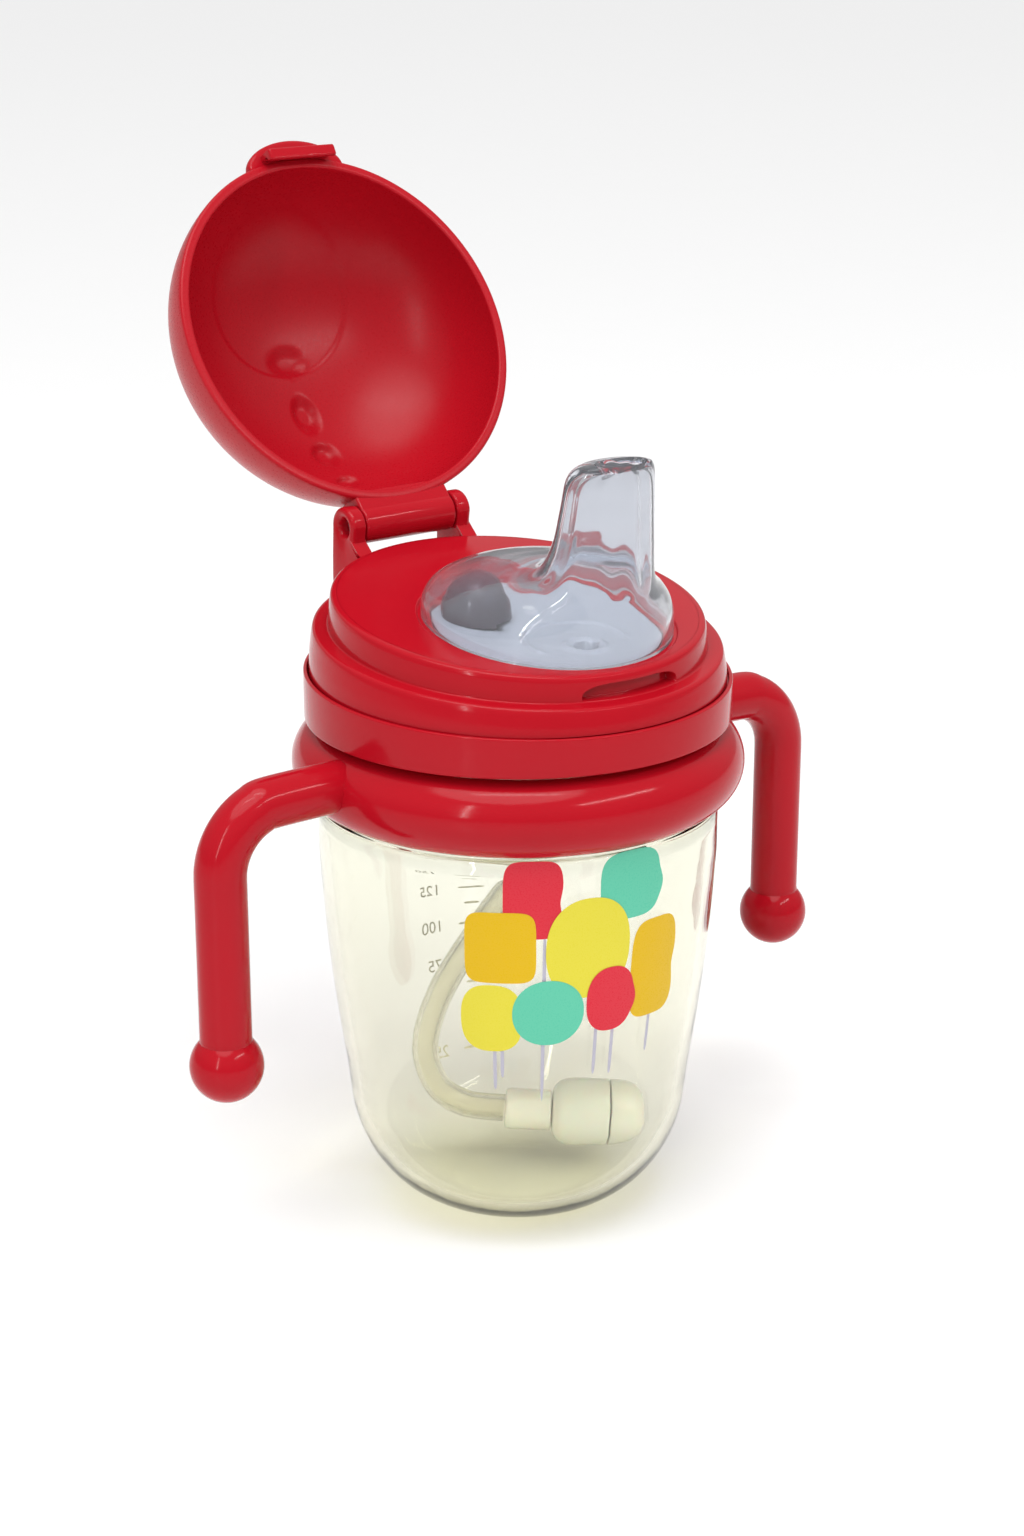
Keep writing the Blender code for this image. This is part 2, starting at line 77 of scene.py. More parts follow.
BODY_LOW, BODY_HIGH = corner_mm("cup_body")
BODY_R = BODY_HIGH[0]
NECK_TOP = BODY_HIGH[2]
COLLAR_Z = corner_mm("screw_collar")[0][2]
PIN_LOW, PIN_HIGH = corner_mm("hinge_pin")
HINGE_Y, HINGE_Z = (PIN_LOW[1:] + PIN_HIGH[1:]) / 2
RING_LOW, RING_HIGH = corner_mm("handle_ring")
RING_Z = (RING_LOW[2] + RING_HIGH[2]) / 2
BALL_LOW, BALL_HIGH = corner_mm("right_handle_ball")
BALL_X, BALL_R = (BALL_LOW[0] + BALL_HIGH[0]) / 2, (BALL_HIGH[0] - BALL_LOW[0]) / 2

FOOT_R, CORNER_R, CORNER_H = 12.2, 19.8, 24.5
BODY_TOP, BODY_BOW, WALL = 70.0, 0.7, 2.0
SHOULDER_Z, SADDLE_R, NECK_R, NECK_BORE_R = 78.8, 35.6, 33.9, 31.9
SADDLE_TOP = NECK_TOP - 9
PITCH = 3.0
RING_ARC_X, RING_ARC_R = 34.1, 7.4
ARM_R, ARM_BEND, ARM_LIFT = 4.65, 12.0, 1.6
COLLAR_R, COLLAR_BORE_R, RIM_SLOPE = 39.0, 35.3, 0.04
BAND_R, SHOULDER_R, DECK_R = 38.0, 37.1, 34.3
LEDGE_SLOPE, DECK_SLOPE, DECK_T = 0.105, 0.14, 1.8
LEDGE_Z, DECK_Z = NECK_TOP + 6.8, NECK_TOP + 12.4
LID_OPEN = math.radians(129.0)
LID_R, LID_WALL, LID_H, LID_POWER = 34.9, 1.9, 26.8, 2.2
SLOT_HALF, SLOT_DEEP = 10.5, 2.0
EAR_IN_X, EAR_OUT_X, EAR_R = 10.4, 13.5, 3.8
BARREL_HALF, BARREL_R = 10.1, 3.6
PIN_R, PIN_INSET = 1.5, 1.2
SPOUT_Y, SPOUT_R, SPOUT_WALL = -8.8, 22.6, 1.3
DRINK_Y = -20.0
STRAW_R, STRAW_BORE_R = 2.5, 1.5
SINKER_START, SINKER_AXIS = (-2.2, 1.6, 15.5), (0.805, -0.585, -0.06)
AIM_Z, AIM_RIGHT, CAMERA_FAR = 83.7, -1.1, 520.0
FLOOR_HALF, FLOOR_DROP = 20.0, 0.3 * MM


# Colour and material helpers


def linear(code):
    """An sRGB hex colour as linear red, green, blue and alpha."""
    parts = (int(code[i : i + 2], 16) / 255 for i in (1, 3, 5))
    return (*(c / 12.92 if c <= 0.04045 else ((c + 0.055) / 1.055) ** 2.4 for c in parts), 1.0)


def add_node(tree, kind, links=None, **settings):
    """A shader node. A setting in capitals is an input's value, any other is the node's own."""
    made = tree.nodes.new("ShaderNode" + kind)
    for key, value in settings.items():
        if key[0].isupper():
            made.inputs[key.replace("_", " ")].default_value = value
        else:
            setattr(made, key, value)
    for name, output in (links or {}).items():
        tree.links.new(output, made.inputs[name])
    return made


def per_mm(size):
    """Noise scale that gives features of about `size` millimetres in Object coordinates."""
    return 1 / (size * MM)


def moulded(name, colour, rough, spread, drift, grain, ripple, **shader):
    """A moulded finish: colour drifting with depth of flow, uneven gloss and a fine skin.

    `drift` is the share by which the colour darkens in slow patches, `spread` how far the
    roughness wanders, and `grain` and `ripple` are the sizes in mm and heights in mm of the
    skin's two bumps. Other words set the Principled shader's own sockets.
    """
    found = bpy.data.materials.get(name)
    if found:
        return found
    made = bpy.data.materials.new(name)
    made.use_nodes = True
    tree = made.node_tree
    tree.nodes.clear()
    where = add_node(tree, "TexCoord").outputs["Object"]
    flow = add_node(tree, "TexNoise", {"Vector": where}, Scale=per_mm(26), Detail=2.0)
    fine = add_node(tree, "TexNoise", {"Vector": where}, Scale=per_mm(grain[0]), Detail=4.0)
    waves = add_node(tree, "TexNoise", {"Vector": where}, Scale=per_mm(ripple[0]), Detail=1.0)
    dark = tuple(c * (1 - drift) for c in colour[:3]) + (1.0,)
    tint = add_node(tree, "Mix", data_type="RGBA")
    tint.inputs[6].default_value, tint.inputs[7].default_value = dark, (*colour[:3], 1.0)
    tree.links.new(flow.outputs["Fac"], tint.inputs[0])
    gloss = add_node(
        tree, "MapRange", {"Value": fine.outputs["Fac"]},
        From_Min=0.3, From_Max=0.7, To_Min=max(rough - spread, 0.0), To_Max=rough + spread,
    )
    skin = add_node(
        tree, "Bump", {"Height": fine.outputs["Fac"]}, Strength=1.0, Distance=grain[1] * MM
    )
    bump = add_node(
        tree, "Bump", {"Height": waves.outputs["Fac"], "Normal": skin.outputs["Normal"]},
        Strength=1.0, Distance=ripple[1] * MM,
    )
    body = add_node(
        tree, "BsdfPrincipled",
        {
            "Base Color": tint.outputs[2],
            "Roughness": gloss.outputs["Result"],
            "Normal": bump.outputs["Normal"],
        },
        **shader,
    )
    add_node(tree, "OutputMaterial", {"Surface": body.outputs["BSDF"]})
    return made


def see_through(made, shade, depth=None):
    """Lets lamps shine through clear stuff as it does in life, tinted by `shade`.

    depth is (colour, density per metre) of what the thickness takes out of the light.
    """
    tree = made.node_tree
    if "lamp_light" in tree.nodes:
        return made
    body = tree.nodes["Principled BSDF"]
    out = tree.nodes["Material Output"]
    path = add_node(tree, "LightPath", name="lamp_light")
    clear = add_node(tree, "BsdfTransparent", Color=shade)
    both = add_node(tree, "MixShader", {"Fac": path.outputs["Is Shadow Ray"]})
    tree.links.new(body.outputs["BSDF"], both.inputs[1])
    tree.links.new(clear.outputs["BSDF"], both.inputs[2])
    tree.links.new(both.outputs["Shader"], out.inputs["Surface"])
    if depth:
        inside = add_node(tree, "VolumeAbsorption", Color=depth[0], Density=depth[1])
        tree.links.new(inside.outputs["Volume"], out.inputs["Volume"])
    return made


def looks():
    return bpy.context.scene.sippy_looks


def sizes():
    return bpy.context.scene.sippy_sizes


def red_polypropylene():
    """Injection-moulded polypropylene: an even glossy skin with a trace of orange peel."""
    return moulded(
        "Red polypropylene, moulded", looks().red, 0.13, 0.03, 0.12, (0.5, 0.0005), (6.0, 0.012),
        IOR=1.45, Specular_IOR_Level=0.2,
    )


def satin_polypropylene():
    """The lid's polypropylene: the same red from a tool with a finer, duller finish."""
    return moulded(
        "Red polypropylene, satin", looks().red, 0.3, 0.05, 0.1, (0.5, 0.0008), (7.0, 0.015),
        IOR=1.45, Specular_IOR_Level=0.22,
    )


def clear_tumbler():
    """Clear blow-moulded sulfone plastic: colourless face on, golden where it is deep."""
    made = moulded(
        "Clear tumbler plastic, blow-moulded", linear("#FAFBF8"), 0.015, 0.01, 0.01,
        (0.8, 0.0003), (9.0, 0.03), IOR=1.52, Transmission_Weight=1.0,
    )
    return see_through(made, linear("#FDFDF9"), (looks().tumbler, 60.0))


def clear_silicone():
    """Liquid silicone rubber: clear with a trace of milk in it, faintly cool, and smooth."""
    made = moulded(
        "Clear silicone rubber", looks().silicone, 0.05, 0.02, 0.02, (0.7, 0.0005), (5.0, 0.03),
        IOR=1.41, Transmission_Weight=0.95,
    )
    return see_through(made, linear("#EEF1F6"), (linear("#D3D7E2"), 12.0))


def milky_silicone():
    """Milky translucent silicone tube: its edges are denser than its middle."""
    made = moulded(
        "Milky silicone tube", looks().cream, 0.16, 0.03, 0.03, (0.6, 0.0003), (3.0, 0.005),
        IOR=1.41, Transmission_Weight=0.85,
    )
    return see_through(made, linear("#F6F2E0"))


def cream_plastic():
    """Cream moulded plastic, a little translucent at its edges."""
    return moulded(
        "Cream plastic, moulded", looks().cream, 0.24, 0.05, 0.08, (0.5, 0.0008), (4.0, 0.012),
        IOR=1.5, Subsurface_Weight=0.25, Subsurface_Scale=0.003,
    )


def pale_plastic():
    """Pale blue-grey moulded plastic under the clear spout."""
    return moulded(
        "Pale plastic, moulded", linear("#B2B6BB"), 0.22, 0.05, 0.06,
        (0.5, 0.0008), (4.0, 0.01), IOR=1.5,
    )


def grey_silicone():
    """Dark silicone rubber of the vent valve: a smooth skin with a broad highlight."""
    return moulded(
        "Dark grey silicone rubber", linear("#4A4148"), 0.22, 0.04, 0.15,
        (0.5, 0.001), (3.0, 0.01), IOR=1.41,
    )


def white_silicone():
    """White silicone seal: matt and slightly chalky."""
    return moulded(
        "White silicone rubber", linear("#ECECEA"), 0.5, 0.06, 0.06,
        (0.5, 0.001), (3.0, 0.01), IOR=1.41,
    )


def turned_steel():
    """Turned stainless steel: a bright metal with the fine unevenness of its tool marks."""
    return moulded(
        "Stainless steel, turned", linear("#A4A4A8"), 0.32, 0.08, 0.1,
        (0.12, 0.0012), (2.0, 0.002), Metallic=1.0,
    )


def ink(colour):
    """Screen-printing ink, opaque and semi-gloss, with the speckle of the mesh it went through."""
    name = "Printing ink " + "".join(f"{round(255 * c):02x}" for c in colour[:3])
    return moulded(
        name, colour, 0.3, 0.08, 0.07, (0.25, 0.0015), (2.0, 0.004),
        IOR=1.5, Specular_IOR_Level=0.25,
    )


# Shape helpers. A shape is a grid of points, rows by columns, and columns always close.


def steps(low, high, count):
    return np.linspace(low, high, count)


def smooth(x):
    """Cubic ramp from 0 to 1."""
    x = np.clip(x, 0, 1)
    return x * x * (3 - 2 * x)


def soften(rows, count=6, ends=False):
    """Rounds the corners of an outline.

    A row is (radius, height, slope, reach). Each corner p becomes the parabola
    a(1-t)^2 + 2pt(1-t) + bt^2, whose ends a and b lie `reach` before and after it along the
    two sides, and at most 0.48 of a side away. With ends, the first and last rows stay sharp.
    """
    rows = np.array(rows, float)
    corner, reach = rows[:, :3], rows[:, 3]

    def toward(other):
        way = other - corner
        length = np.maximum(np.hypot(way[:, 0], way[:, 1]), 1e-9)
        return corner + way * np.minimum(reach / length, 0.48)[:, None]

    a, b = toward(np.roll(corner, 1, 0)), toward(np.roll(corner, -1, 0))
    if ends:
        a[[0, -1]] = b[[0, -1]] = corner[[0, -1]]
    t = steps(0, 1, count)[None, :, None]
    out = a[:, None] * (1 - t) ** 2 + 2 * corner[:, None] * t * (1 - t) + b[:, None] * t**2
    out = out.reshape(-1, 3)
    apart = np.linalg.norm(out - np.roll(out, 1, 0), axis=1) > 1e-4
    apart[0] = True
    return out[apart]


def fill_rows(rows, gap):
    """Adds rows so that no two neighbours are further apart than gap."""
    out = [rows[:1]]
    for a, b in zip(rows, rows[1:]):
        count = max(1, math.ceil(np.hypot(*(b - a)[:2]) / gap))
        out.append(a + (b - a) * steps(0, 1, count + 1)[1:, None])
    return np.concatenate(out)


def around(count):
    return TAU * np.arange(count) / count


def turned(rows, angles, centre_y=0.0):
    """Turns (radius, height, slope) rows about the upright line at centre_y.

    z = height + slope * y, so a rim can tilt.
    """
    radius, height, slope = rows.T[:, :, None]
    x, y = radius * np.cos(angles), centre_y + radius * np.sin(angles)
    return np.stack([x, y, height + slope * y], -1)


def push_out(rows, distance, angles):
    """Moves rows of a turned grid away from the axis by distance, in place."""
    rows[..., 0] += distance * np.cos(angles)
    rows[..., 1] += distance * np.sin(angles)


def tilted(points, angle, pivot=(0.0, 0.0)):
    """Turns points about the X direction through pivot (y, z)."""
    y, z = points[..., 1] - pivot[0], points[..., 2] - pivot[1]
    c, s = math.cos(angle), math.sin(angle)
    return np.stack([points[..., 0], pivot[0] + y * c - z * s, pivot[1] + y * s + z * c], -1)


def shut_to_open(points):
    """From the lid's own frame, rim down at z = 0, to where the open lid stands."""
    seated = tilted(points, math.atan(DECK_SLOPE)) + (0, 0, DECK_Z + 0.3)
    return tilted(seated, -LID_OPEN, (HINGE_Y, HINGE_Z))


def surface(name, grid, material, body, nodes=(), loop=True, sharp=50.0, slot=None):
    """A closed body from a grid in millimetres.

    loop joins the last row to the first; otherwise the first and last rows are single
    points, each a pole. The faces are turned outwards by the sign of the volume.
    """
    rows, columns = grid.shape[:2]
    index = np.arange(rows * columns).reshape(rows, columns)
    if not loop:
        index[0], index[-1] = index[0, 0], index[-1, 0]
    below = np.roll(index, -1, 0) if loop else index[1:]
    above = index if loop else index[:-1]
    quads = np.stack([above, np.roll(above, -1, 1), np.roll(below, -1, 1), below], -1)
    quads = quads.reshape(-1, 4)
    flat = grid.reshape(-1, 3)
    used, quads = np.unique(quads, return_inverse=True)
    quads, flat = quads.reshape(-1, 4), flat[used]
    a, b, c, d = flat[quads].transpose(1, 0, 2)
    if (np.cross(b, c) * a).sum() + (np.cross(c, d) * a).sum() < 0:
        quads = quads[:, ::-1]
    pole_a, pole_b = quads[:, 0] == quads[:, 1], quads[:, 2] == quads[:, 3]
    faces = quads[~(pole_a | pole_b)].tolist()
    faces += quads[pole_a][:, 1:].tolist() + quads[pole_b & ~pole_a][:, :3].tolist()
    mesh = bpy.data.meshes.new(name)
    mesh.from_pydata((flat * MM).tolist(), [], faces)
    mesh.update()
    mesh.shade_smooth()
    mesh.set_sharp_from_angle(angle=math.radians(sharp))
    mesh.materials.append(material)
    made = bpy.data.objects.new(name, mesh)
    bpy.context.scene.collection.objects.link(made)
    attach(made, body)
    if nodes:
        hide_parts(*nodes)
    return made


def red_piece(name, grid, body, *nodes, **how):
    """A surface of the glossy red plastic."""
    return surface(name, grid, red_polypropylene(), body, nodes, slot="red_plastic", **how)


def clear_piece(name, grid, material, *nodes, **how):
    """A surface on the tumbler: its wall, or ink printed on it."""
    slot = "tinted_clear_plastic"
    return surface(name, grid, material, "cup", nodes, loop=False, slot=slot, **how)


def capped(grid):
    """The grid with a pole at the middle of its first row and another at that of its last."""
    first = np.broadcast_to(grid[0].mean(0), grid[0].shape)
    last = np.broadcast_to(grid[-1].mean(0), grid[-1].shape)
    return np.concatenate([first[None], grid, last[None]])


def curve_through(points, per_span):
    """Catmull-Rom curve: each span is the cubic set by its two ends and their neighbours."""
    p = np.array(points, float)
    p = np.concatenate([[2 * p[0] - p[1]], p, [2 * p[-1] - p[-2]]])
    a, b, c, d = p[:-3, None], p[1:-2, None], p[2:-1, None], p[3:, None]
    t = (np.arange(per_span) / per_span)[None, :, None]
    square, cube = 2 * a - 5 * b + 4 * c - d, 3 * b - a - 3 * c + d
    out = 0.5 * (2 * b + (c - a) * t + square * t**2 + cube * t**3)
    return np.concatenate([out.reshape(-1, p.shape[1]), p[-2:-1]])


def along(path, across, radius, sides):
    """Rings of `radius` round each point of path, square to it; across fixes the first side."""
    way = np.gradient(path, axis=0)
    way /= np.linalg.norm(way, axis=1, keepdims=True)
    side = np.broadcast_to(np.array(across, float), path.shape)
    side = side - (side * way).sum(1, keepdims=True) * way
    side /= np.linalg.norm(side, axis=1, keepdims=True)
    up = np.cross(way, side)
    turn = around(sides)[None, :, None]
    radius = np.broadcast_to(radius, len(path))[:, None, None]
    return path[:, None] + radius * (np.cos(turn) * side[:, None] + np.sin(turn) * up[:, None])


def rod(low, high, radius, edge, count):
    """Rings along X from low to high, closed at both ends, with quarter-round edges."""
    t = steps(0, math.pi / 2, 6)
    size = radius - edge + edge * np.sin(t)
    inset = edge * (1 - np.cos(t))
    size = np.concatenate([[0], size, size[::-1], [0]])[:, None]
    x = np.concatenate([[low], low + inset, high - inset[::-1], [high]])[:, None]
    turn = around(count)
    return np.stack([x + 0 * turn, size * np.cos(turn), size * np.sin(turn)], -1)


def ridge(angles, height, start, turns):
    """Height share, 0 to 1, of a right-hand thread: a flat-topped ridge along a helix."""
    middle = start + PITCH * angles / TAU
    side = np.clip((0.6 - np.abs(height - middle)) / 0.3, 0, 1)
    ends = np.clip((angles - 0.087) / 0.7, 0, 1) * np.clip((turns * TAU - angles) / 0.7, 0, 1)
    return side * ends


# Stage


def make_stage():
    """White floor, ceiling light, softboxes and the camera."""
    scene = bpy.context.scene
    camera = bpy.data.objects.new("camera", bpy.data.cameras.new("camera"))
    scene.collection.objects.link(camera)
    azimuth, elevation = math.radians(-36.0), math.radians(18.6)
    right = np.array([math.cos(azimuth), math.sin(azimuth), 0.0])
    level = np.array([math.sin(azimuth), -math.cos(azimuth), 0.0])
    back = level * math.cos(elevation) + np.array([0.0, 0.0, math.sin(elevation)])
    target = np.array([0.0, 0.0, AIM_Z]) + AIM_RIGHT * right
    camera.location = (target + back * CAMERA_FAR) * MM
    camera.rotation_euler = (math.pi / 2 - elevation, 0.0, azimuth)
    camera.data.sensor_width = 36.0
    camera.data.lens = 66.23
    camera.data.clip_start, camera.data.clip_end = 0.01, 50.0
    scene.camera = camera
    scene.view_settings.view_transform = "Standard"

    floor = bpy.data.objects.new("floor", bpy.data.meshes.new("floor"))
    side = steps(-FLOOR_HALF, FLOOR_HALF, 25)
    x, y = np.meshgrid(side, side)
    index = np.arange(625).reshape(25, 25)
    quads = np.stack([index[:-1, :-1], index[:-1, 1:], index[1:, 1:], index[1:, :-1]], -1)
    points = np.stack([x, y, np.full_like(x, -FLOOR_DROP)], -1).reshape(-1, 3)
    floor.data.from_pydata(points.tolist(), [], quads.reshape(-1, 4).tolist())
    floor.data.materials.append(moulded(
        "White acrylic floor", linear("#FAFAFA"), 0.3, 0.02, 0.01, (3.0, 0.0), (60.0, 0.0),
        IOR=1.35,
    ))
    scene.collection.objects.link(floor)

    # The room is white overhead and dims to the horizon, which draws the edges of clear parts.
    world = bpy.data.worlds.new("studio")
    world.use_nodes = True
    tree = world.node_tree
    toward = add_node(tree, "TexCoord").outputs["Generated"]
    height = add_node(tree, "SeparateXYZ", {"Vector": toward})
    shade = add_node(
        tree, "MapRange", {"Value": height.outputs["Z"]}, interpolation_type="SMOOTHSTEP",
        From_Min=0.0, From_Max=0.55, To_Min=0.55 * looks().room_light, To_Max=looks().room_light,
    )
    tree.links.new(shade.outputs["Result"], tree.nodes["Background"].inputs["Strength"])
    tree.nodes["Background"].inputs["Color"].default_value = (1.0, 1.0, 1.0, 1.0)
    scene.world = world

    def softbox(name, place, size, watts):
        light = bpy.data.lights.new(name, "AREA")
        light.shape, light.size, light.size_y = "RECTANGLE", size[0], size[1]
        light.energy = watts
        lamp = bpy.data.objects.new(name, light)
        lamp.location = place
        toward = np.array([0.0, 0.0, 0.09]) - np.array(place)
        x_, y_, z_ = toward / np.linalg.norm(toward)
        lamp.rotation_euler = (math.acos(-z_), 0.0, math.atan2(y_, x_) - math.pi / 2)
        scene.collection.objects.link(lamp)

    softbox("overhead", (-0.15, -0.2, 1.0), (0.5, 0.05), 0.9)
    softbox("left", (-0.85, -0.45, 0.5), (0.03, 0.6), 1.5)
    softbox("right", (0.3, -0.75, 0.75), (0.7, 0.03), 2.2)
    sky = bpy.data.lights.new("ceiling", "SUN")
    sky.energy, sky.angle = 1.75, math.radians(50)
    high = bpy.data.objects.new("ceiling", sky)
    high.rotation_euler = (math.radians(10), math.radians(-12), 0.0)
    scene.collection.objects.link(high)


# Tumbler


def body_radius(z):
    """Outer radius of the wall above the foot corner: a straight flare with a slight bow."""
    s = np.minimum((z - CORNER_H) / (BODY_TOP - CORNER_H), 1.0)
    top = FOOT_R + CORNER_R
    return top + (BODY_R - top) * s + 4 * BODY_BOW * s * (1 - s)


def wall_radius(z):
    """Outer radius of the tumbler at any height: quarter ellipse below, wall above.

    Where the two meet, within 8 mm, it is the mean of five radii a little above and below.
    """
    near = smooth(1 - np.abs(z - CORNER_H) / 8)
    total = 0
    for step in (-4, -2, 0, 2, 4):
        at = z + step * near
        below = 1 - np.minimum(at / CORNER_H, 1)
        low = FOOT_R + CORNER_R * np.sqrt(np.clip(1 - below**2, 0, 1))
        total = total + np.where(at < CORNER_H, low, body_radius(np.maximum(at, CORNER_H)))
    return total / 5


def make_tumbler():
    """Turned wall of even thickness with the thread's ridge raised on its neck."""
    t = steps(0, math.pi / 2, 26)[1:]
    z = steps(CORNER_H, BODY_TOP, 16)[1:]

    def rows(radius, height, reach=0.0):
        radius, height = np.atleast_1d(radius), np.atleast_1d(height)
        return [(r, h, 0.0, reach) for r, h in zip(radius, height)]

    outer = rows(0, 0) + rows(FOOT_R - 3, 0) + rows(FOOT_R, 0, 1.5)
    corner = CORNER_H * (1 - np.cos(t))
    outer += rows(wall_radius(corner), corner) + rows(wall_radius(z), z)
    outer += rows(BODY_R, SHOULDER_Z, 0.9) + rows(SADDLE_R, SHOULDER_Z, 0.4)
    outer += rows(SADDLE_R, SADDLE_TOP, 0.5) + rows(NECK_R, SADDLE_TOP, 0.3)
    outer += rows(NECK_R, NECK_TOP, 0.6)
    inner = rows(NECK_BORE_R, NECK_TOP, 0.6) + rows(NECK_BORE_R, SADDLE_TOP - 1, 1.0)
    inner += rows(SADDLE_R - WALL, SADDLE_TOP - 4, 1.0)
    inner += rows(SADDLE_R - WALL, SHOULDER_Z + 1, 0.8)
    inner += rows(BODY_R - WALL, SHOULDER_Z - 3, 1.0)
    inner += rows(wall_radius(z)[::-1] - WALL, z[::-1])
    bottom = WALL * 1.25
    drop = WALL + (bottom - WALL) * np.cos(t)
    sag = wall_radius(corner) - FOOT_R - CORNER_R * np.sin(t)
    low_radius = FOOT_R + (CORNER_R - WALL) * np.sin(t) + sag
    low_height = CORNER_H - (CORNER_H - drop) * np.cos(t)
    inner += rows(low_radius[::-1], low_height[::-1])
    inner += rows(FOOT_R - 3, bottom) + rows(0, bottom)
    profile = fill_rows(soften(outer + inner, ends=True), 1.6)

    radius, height = profile[:, 0], profile[:, 1]
    neck = (radius > NECK_R - 0.01) & (height > SADDLE_TOP + 0.3) & (height < NECK_TOP - 0.7)
    first, last = np.flatnonzero(neck)[[0, -1]]
    count = 60
    thread_z = steps(SADDLE_TOP + 0.5, NECK_TOP - 1, count)
    thread = np.stack([np.full(count, NECK_R), thread_z, np.zeros(count)], 1)
    profile = np.concatenate([profile[:first], thread, profile[last + 1 :]])
    angles = around(240)
    grid = turned(profile, angles)
    raised = ridge(angles[None], thread_z[:, None], NECK_TOP - 6.8, 0.65)
    raised = raised * sizes().thread_depth / MM
    push_out(grid[first : first + count], raised, angles)
    clear_piece("tumbler", grid, clear_tumbler(), "cup_body")


# (angle round the wall in degrees, height, half width, half height, squareness, waist, ink)
BALLOONS = (
    (-122.0, 71.8, 5.3, 7.3, 4.5, 0.10, "red"),
    (-93.4, 72.8, 6.3, 6.4, 3.4, -0.12, "teal"),
    (-131.0, 62.8, 6.3, 6.8, 5.5, 0.0, "mustard"),
    (-84.0, 55.6, 5.4, 9.6, 4.0, 0.12, "mustard"),
    (-106.0, 62.0, 7.9, 9.6, 2.3, 0.0, "yellow"),
    (-133.6, 49.0, 5.5, 6.6, 2.6, 0.14, "yellow"),
    (-117.4, 50.0, 6.4, 6.4, 2.1, 0.0, "teal"),
    (-98.8, 51.4, 4.7, 6.3, 2.4, -0.10, "red"),
)
INKS = {
    "red": "#D6293A", "teal": "#5FC4A4", "mustard": "#DDB304", "yellow": "#DED23C",
    "stick": "#B9B6C4", "scale": "#EFE9D3",
}
# (angle in degrees, lowest and highest point) of each stick
STICKS = (
    (-132.9, 34.5, 43.5), (-130.7, 37.0, 46.0), (-118.8, 32.0, 66.0), (-102.9, 36.5, 47.0),
    (-97.4, 36.0, 47.0), (-84.2, 38.5, 48.0),
)


def on_wall(arc, height, proud, centre):
    """Wraps flat (arc length, height) onto the tumbler's outside, `proud` of the wall."""
    radius = wall_radius(height) + proud
    angle = math.radians(centre) + arc / wall_radius(height)
    return np.stack([radius * np.cos(angle), radius * np.sin(angle), height], -1)


def printed_patch(name, arc, height, centre, low, thick, colour):
    """A patch of ink: its flat outline grid laid on the wall twice, as a thin closed film."""
    top = on_wall(arc, height, low + thick, centre)
    under = on_wall(arc, height, low, centre)
    clear_piece(name, np.concatenate([top, under[::-1]]), ink(linear(INKS[colour])), sharp=80)


def make_print():
    """Plain balloons on sticks.

    Each is a rounded outline |x/a|^n + |y/b|^n = 1, drawn in at its waist on one side and
    filled from its middle.
    """
    share = np.concatenate([[0.0], steps(0.08, 1, 14)])[:, None]
    turn = around(96)[None]
    c, s = np.cos(turn), np.sin(turn)
    for number, (centre, height, half_x, half_y, power, waist, colour) in enumerate(BALLOONS):
        reach = (np.abs(c) ** power + np.abs(s) ** power) ** (-1 / power)
        reach = reach * (1 - waist * smooth(1 - np.abs(s + 0.1) / 0.5) * (c > 0))
        arc = share * reach * half_x * c
        up = height + share * reach * half_y * s
        layer = 0.07 + 0.03 * number
        printed_patch(f"balloon_{number}", arc, up, centre, layer, 0.02, colour)
    for number, (centre, low, high) in enumerate(STICKS):
        arc = share * 0.32 * c
        up = (low + high) / 2 + share * np.sign(s) * np.abs(s) ** 0.35 * (high - low) / 2
        printed_patch(f"balloon_stick_{number}", arc, up, centre, 0.04, 0.02, "stick")


def make_graduations():
    """Pale scale on the back wall: a number and a long tick every 25 ml, short ticks between.

    The tumbler holds the sum of pi (r - wall)^2 dz up to a height, and each mark is where that
    sum reaches its volume.
    """
    z = steps(2.5, BODY_TOP, 600)
    held = np.cumsum(math.pi * (wall_radius(z) - WALL) ** 2) * (z[1] - z[0]) / 1000
    volumes = np.arange(25, 151, 12.5)
    heights = np.interp(volumes, held, z)
    share = np.concatenate([[0.0], steps(0.1, 1, 10)])[:, None]
    turn = around(40)[None]
    c, s = np.cos(turn), np.sin(turn)
    for number, height in enumerate(heights):
        half = 2.9 if number % 2 == 0 else 1.7
        arc = share * np.sign(c) * np.abs(c) ** 0.3 * half
        up = height + share * s * 0.22
        printed_patch(f"tick_{number}", arc, up, 70.0, 0.05, 0.05, "scale")
    for number, height in enumerate(heights[::2]):
        text = bpy.data.curves.new(f"number_{number}", "FONT")
        text.body, text.size, text.resolution_u = str(25 * (number + 1)), 3.4, 3
        text.align_x, text.align_y, text.extrude = "CENTER", "CENTER", 0.03
        drawn = bpy.data.objects.new(f"drawn_{number}", text)
        bpy.context.scene.collection.objects.link(drawn)
        graph = bpy.context.evaluated_depsgraph_get()
        mesh = bpy.data.meshes.new_from_object(drawn.evaluated_get(graph))
        bpy.data.objects.remove(drawn)
        flat = np.empty(len(mesh.vertices) * 3)
        mesh.vertices.foreach_get("co", flat)
        x, y, z = flat.reshape(-1, 3).T
        mesh.vertices.foreach_set("co", (on_wall(x, height + y, 0.1 + z, 85.0) * MM).ravel())
        mesh.name = f"number_{number}"
        mesh.materials.clear()
        mesh.materials.append(ink(linear(INKS["scale"])))
        made = bpy.data.objects.new(f"number_{number}", mesh)
        bpy.context.scene.collection.objects.link(made)
        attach(made, "cup")


# Handles


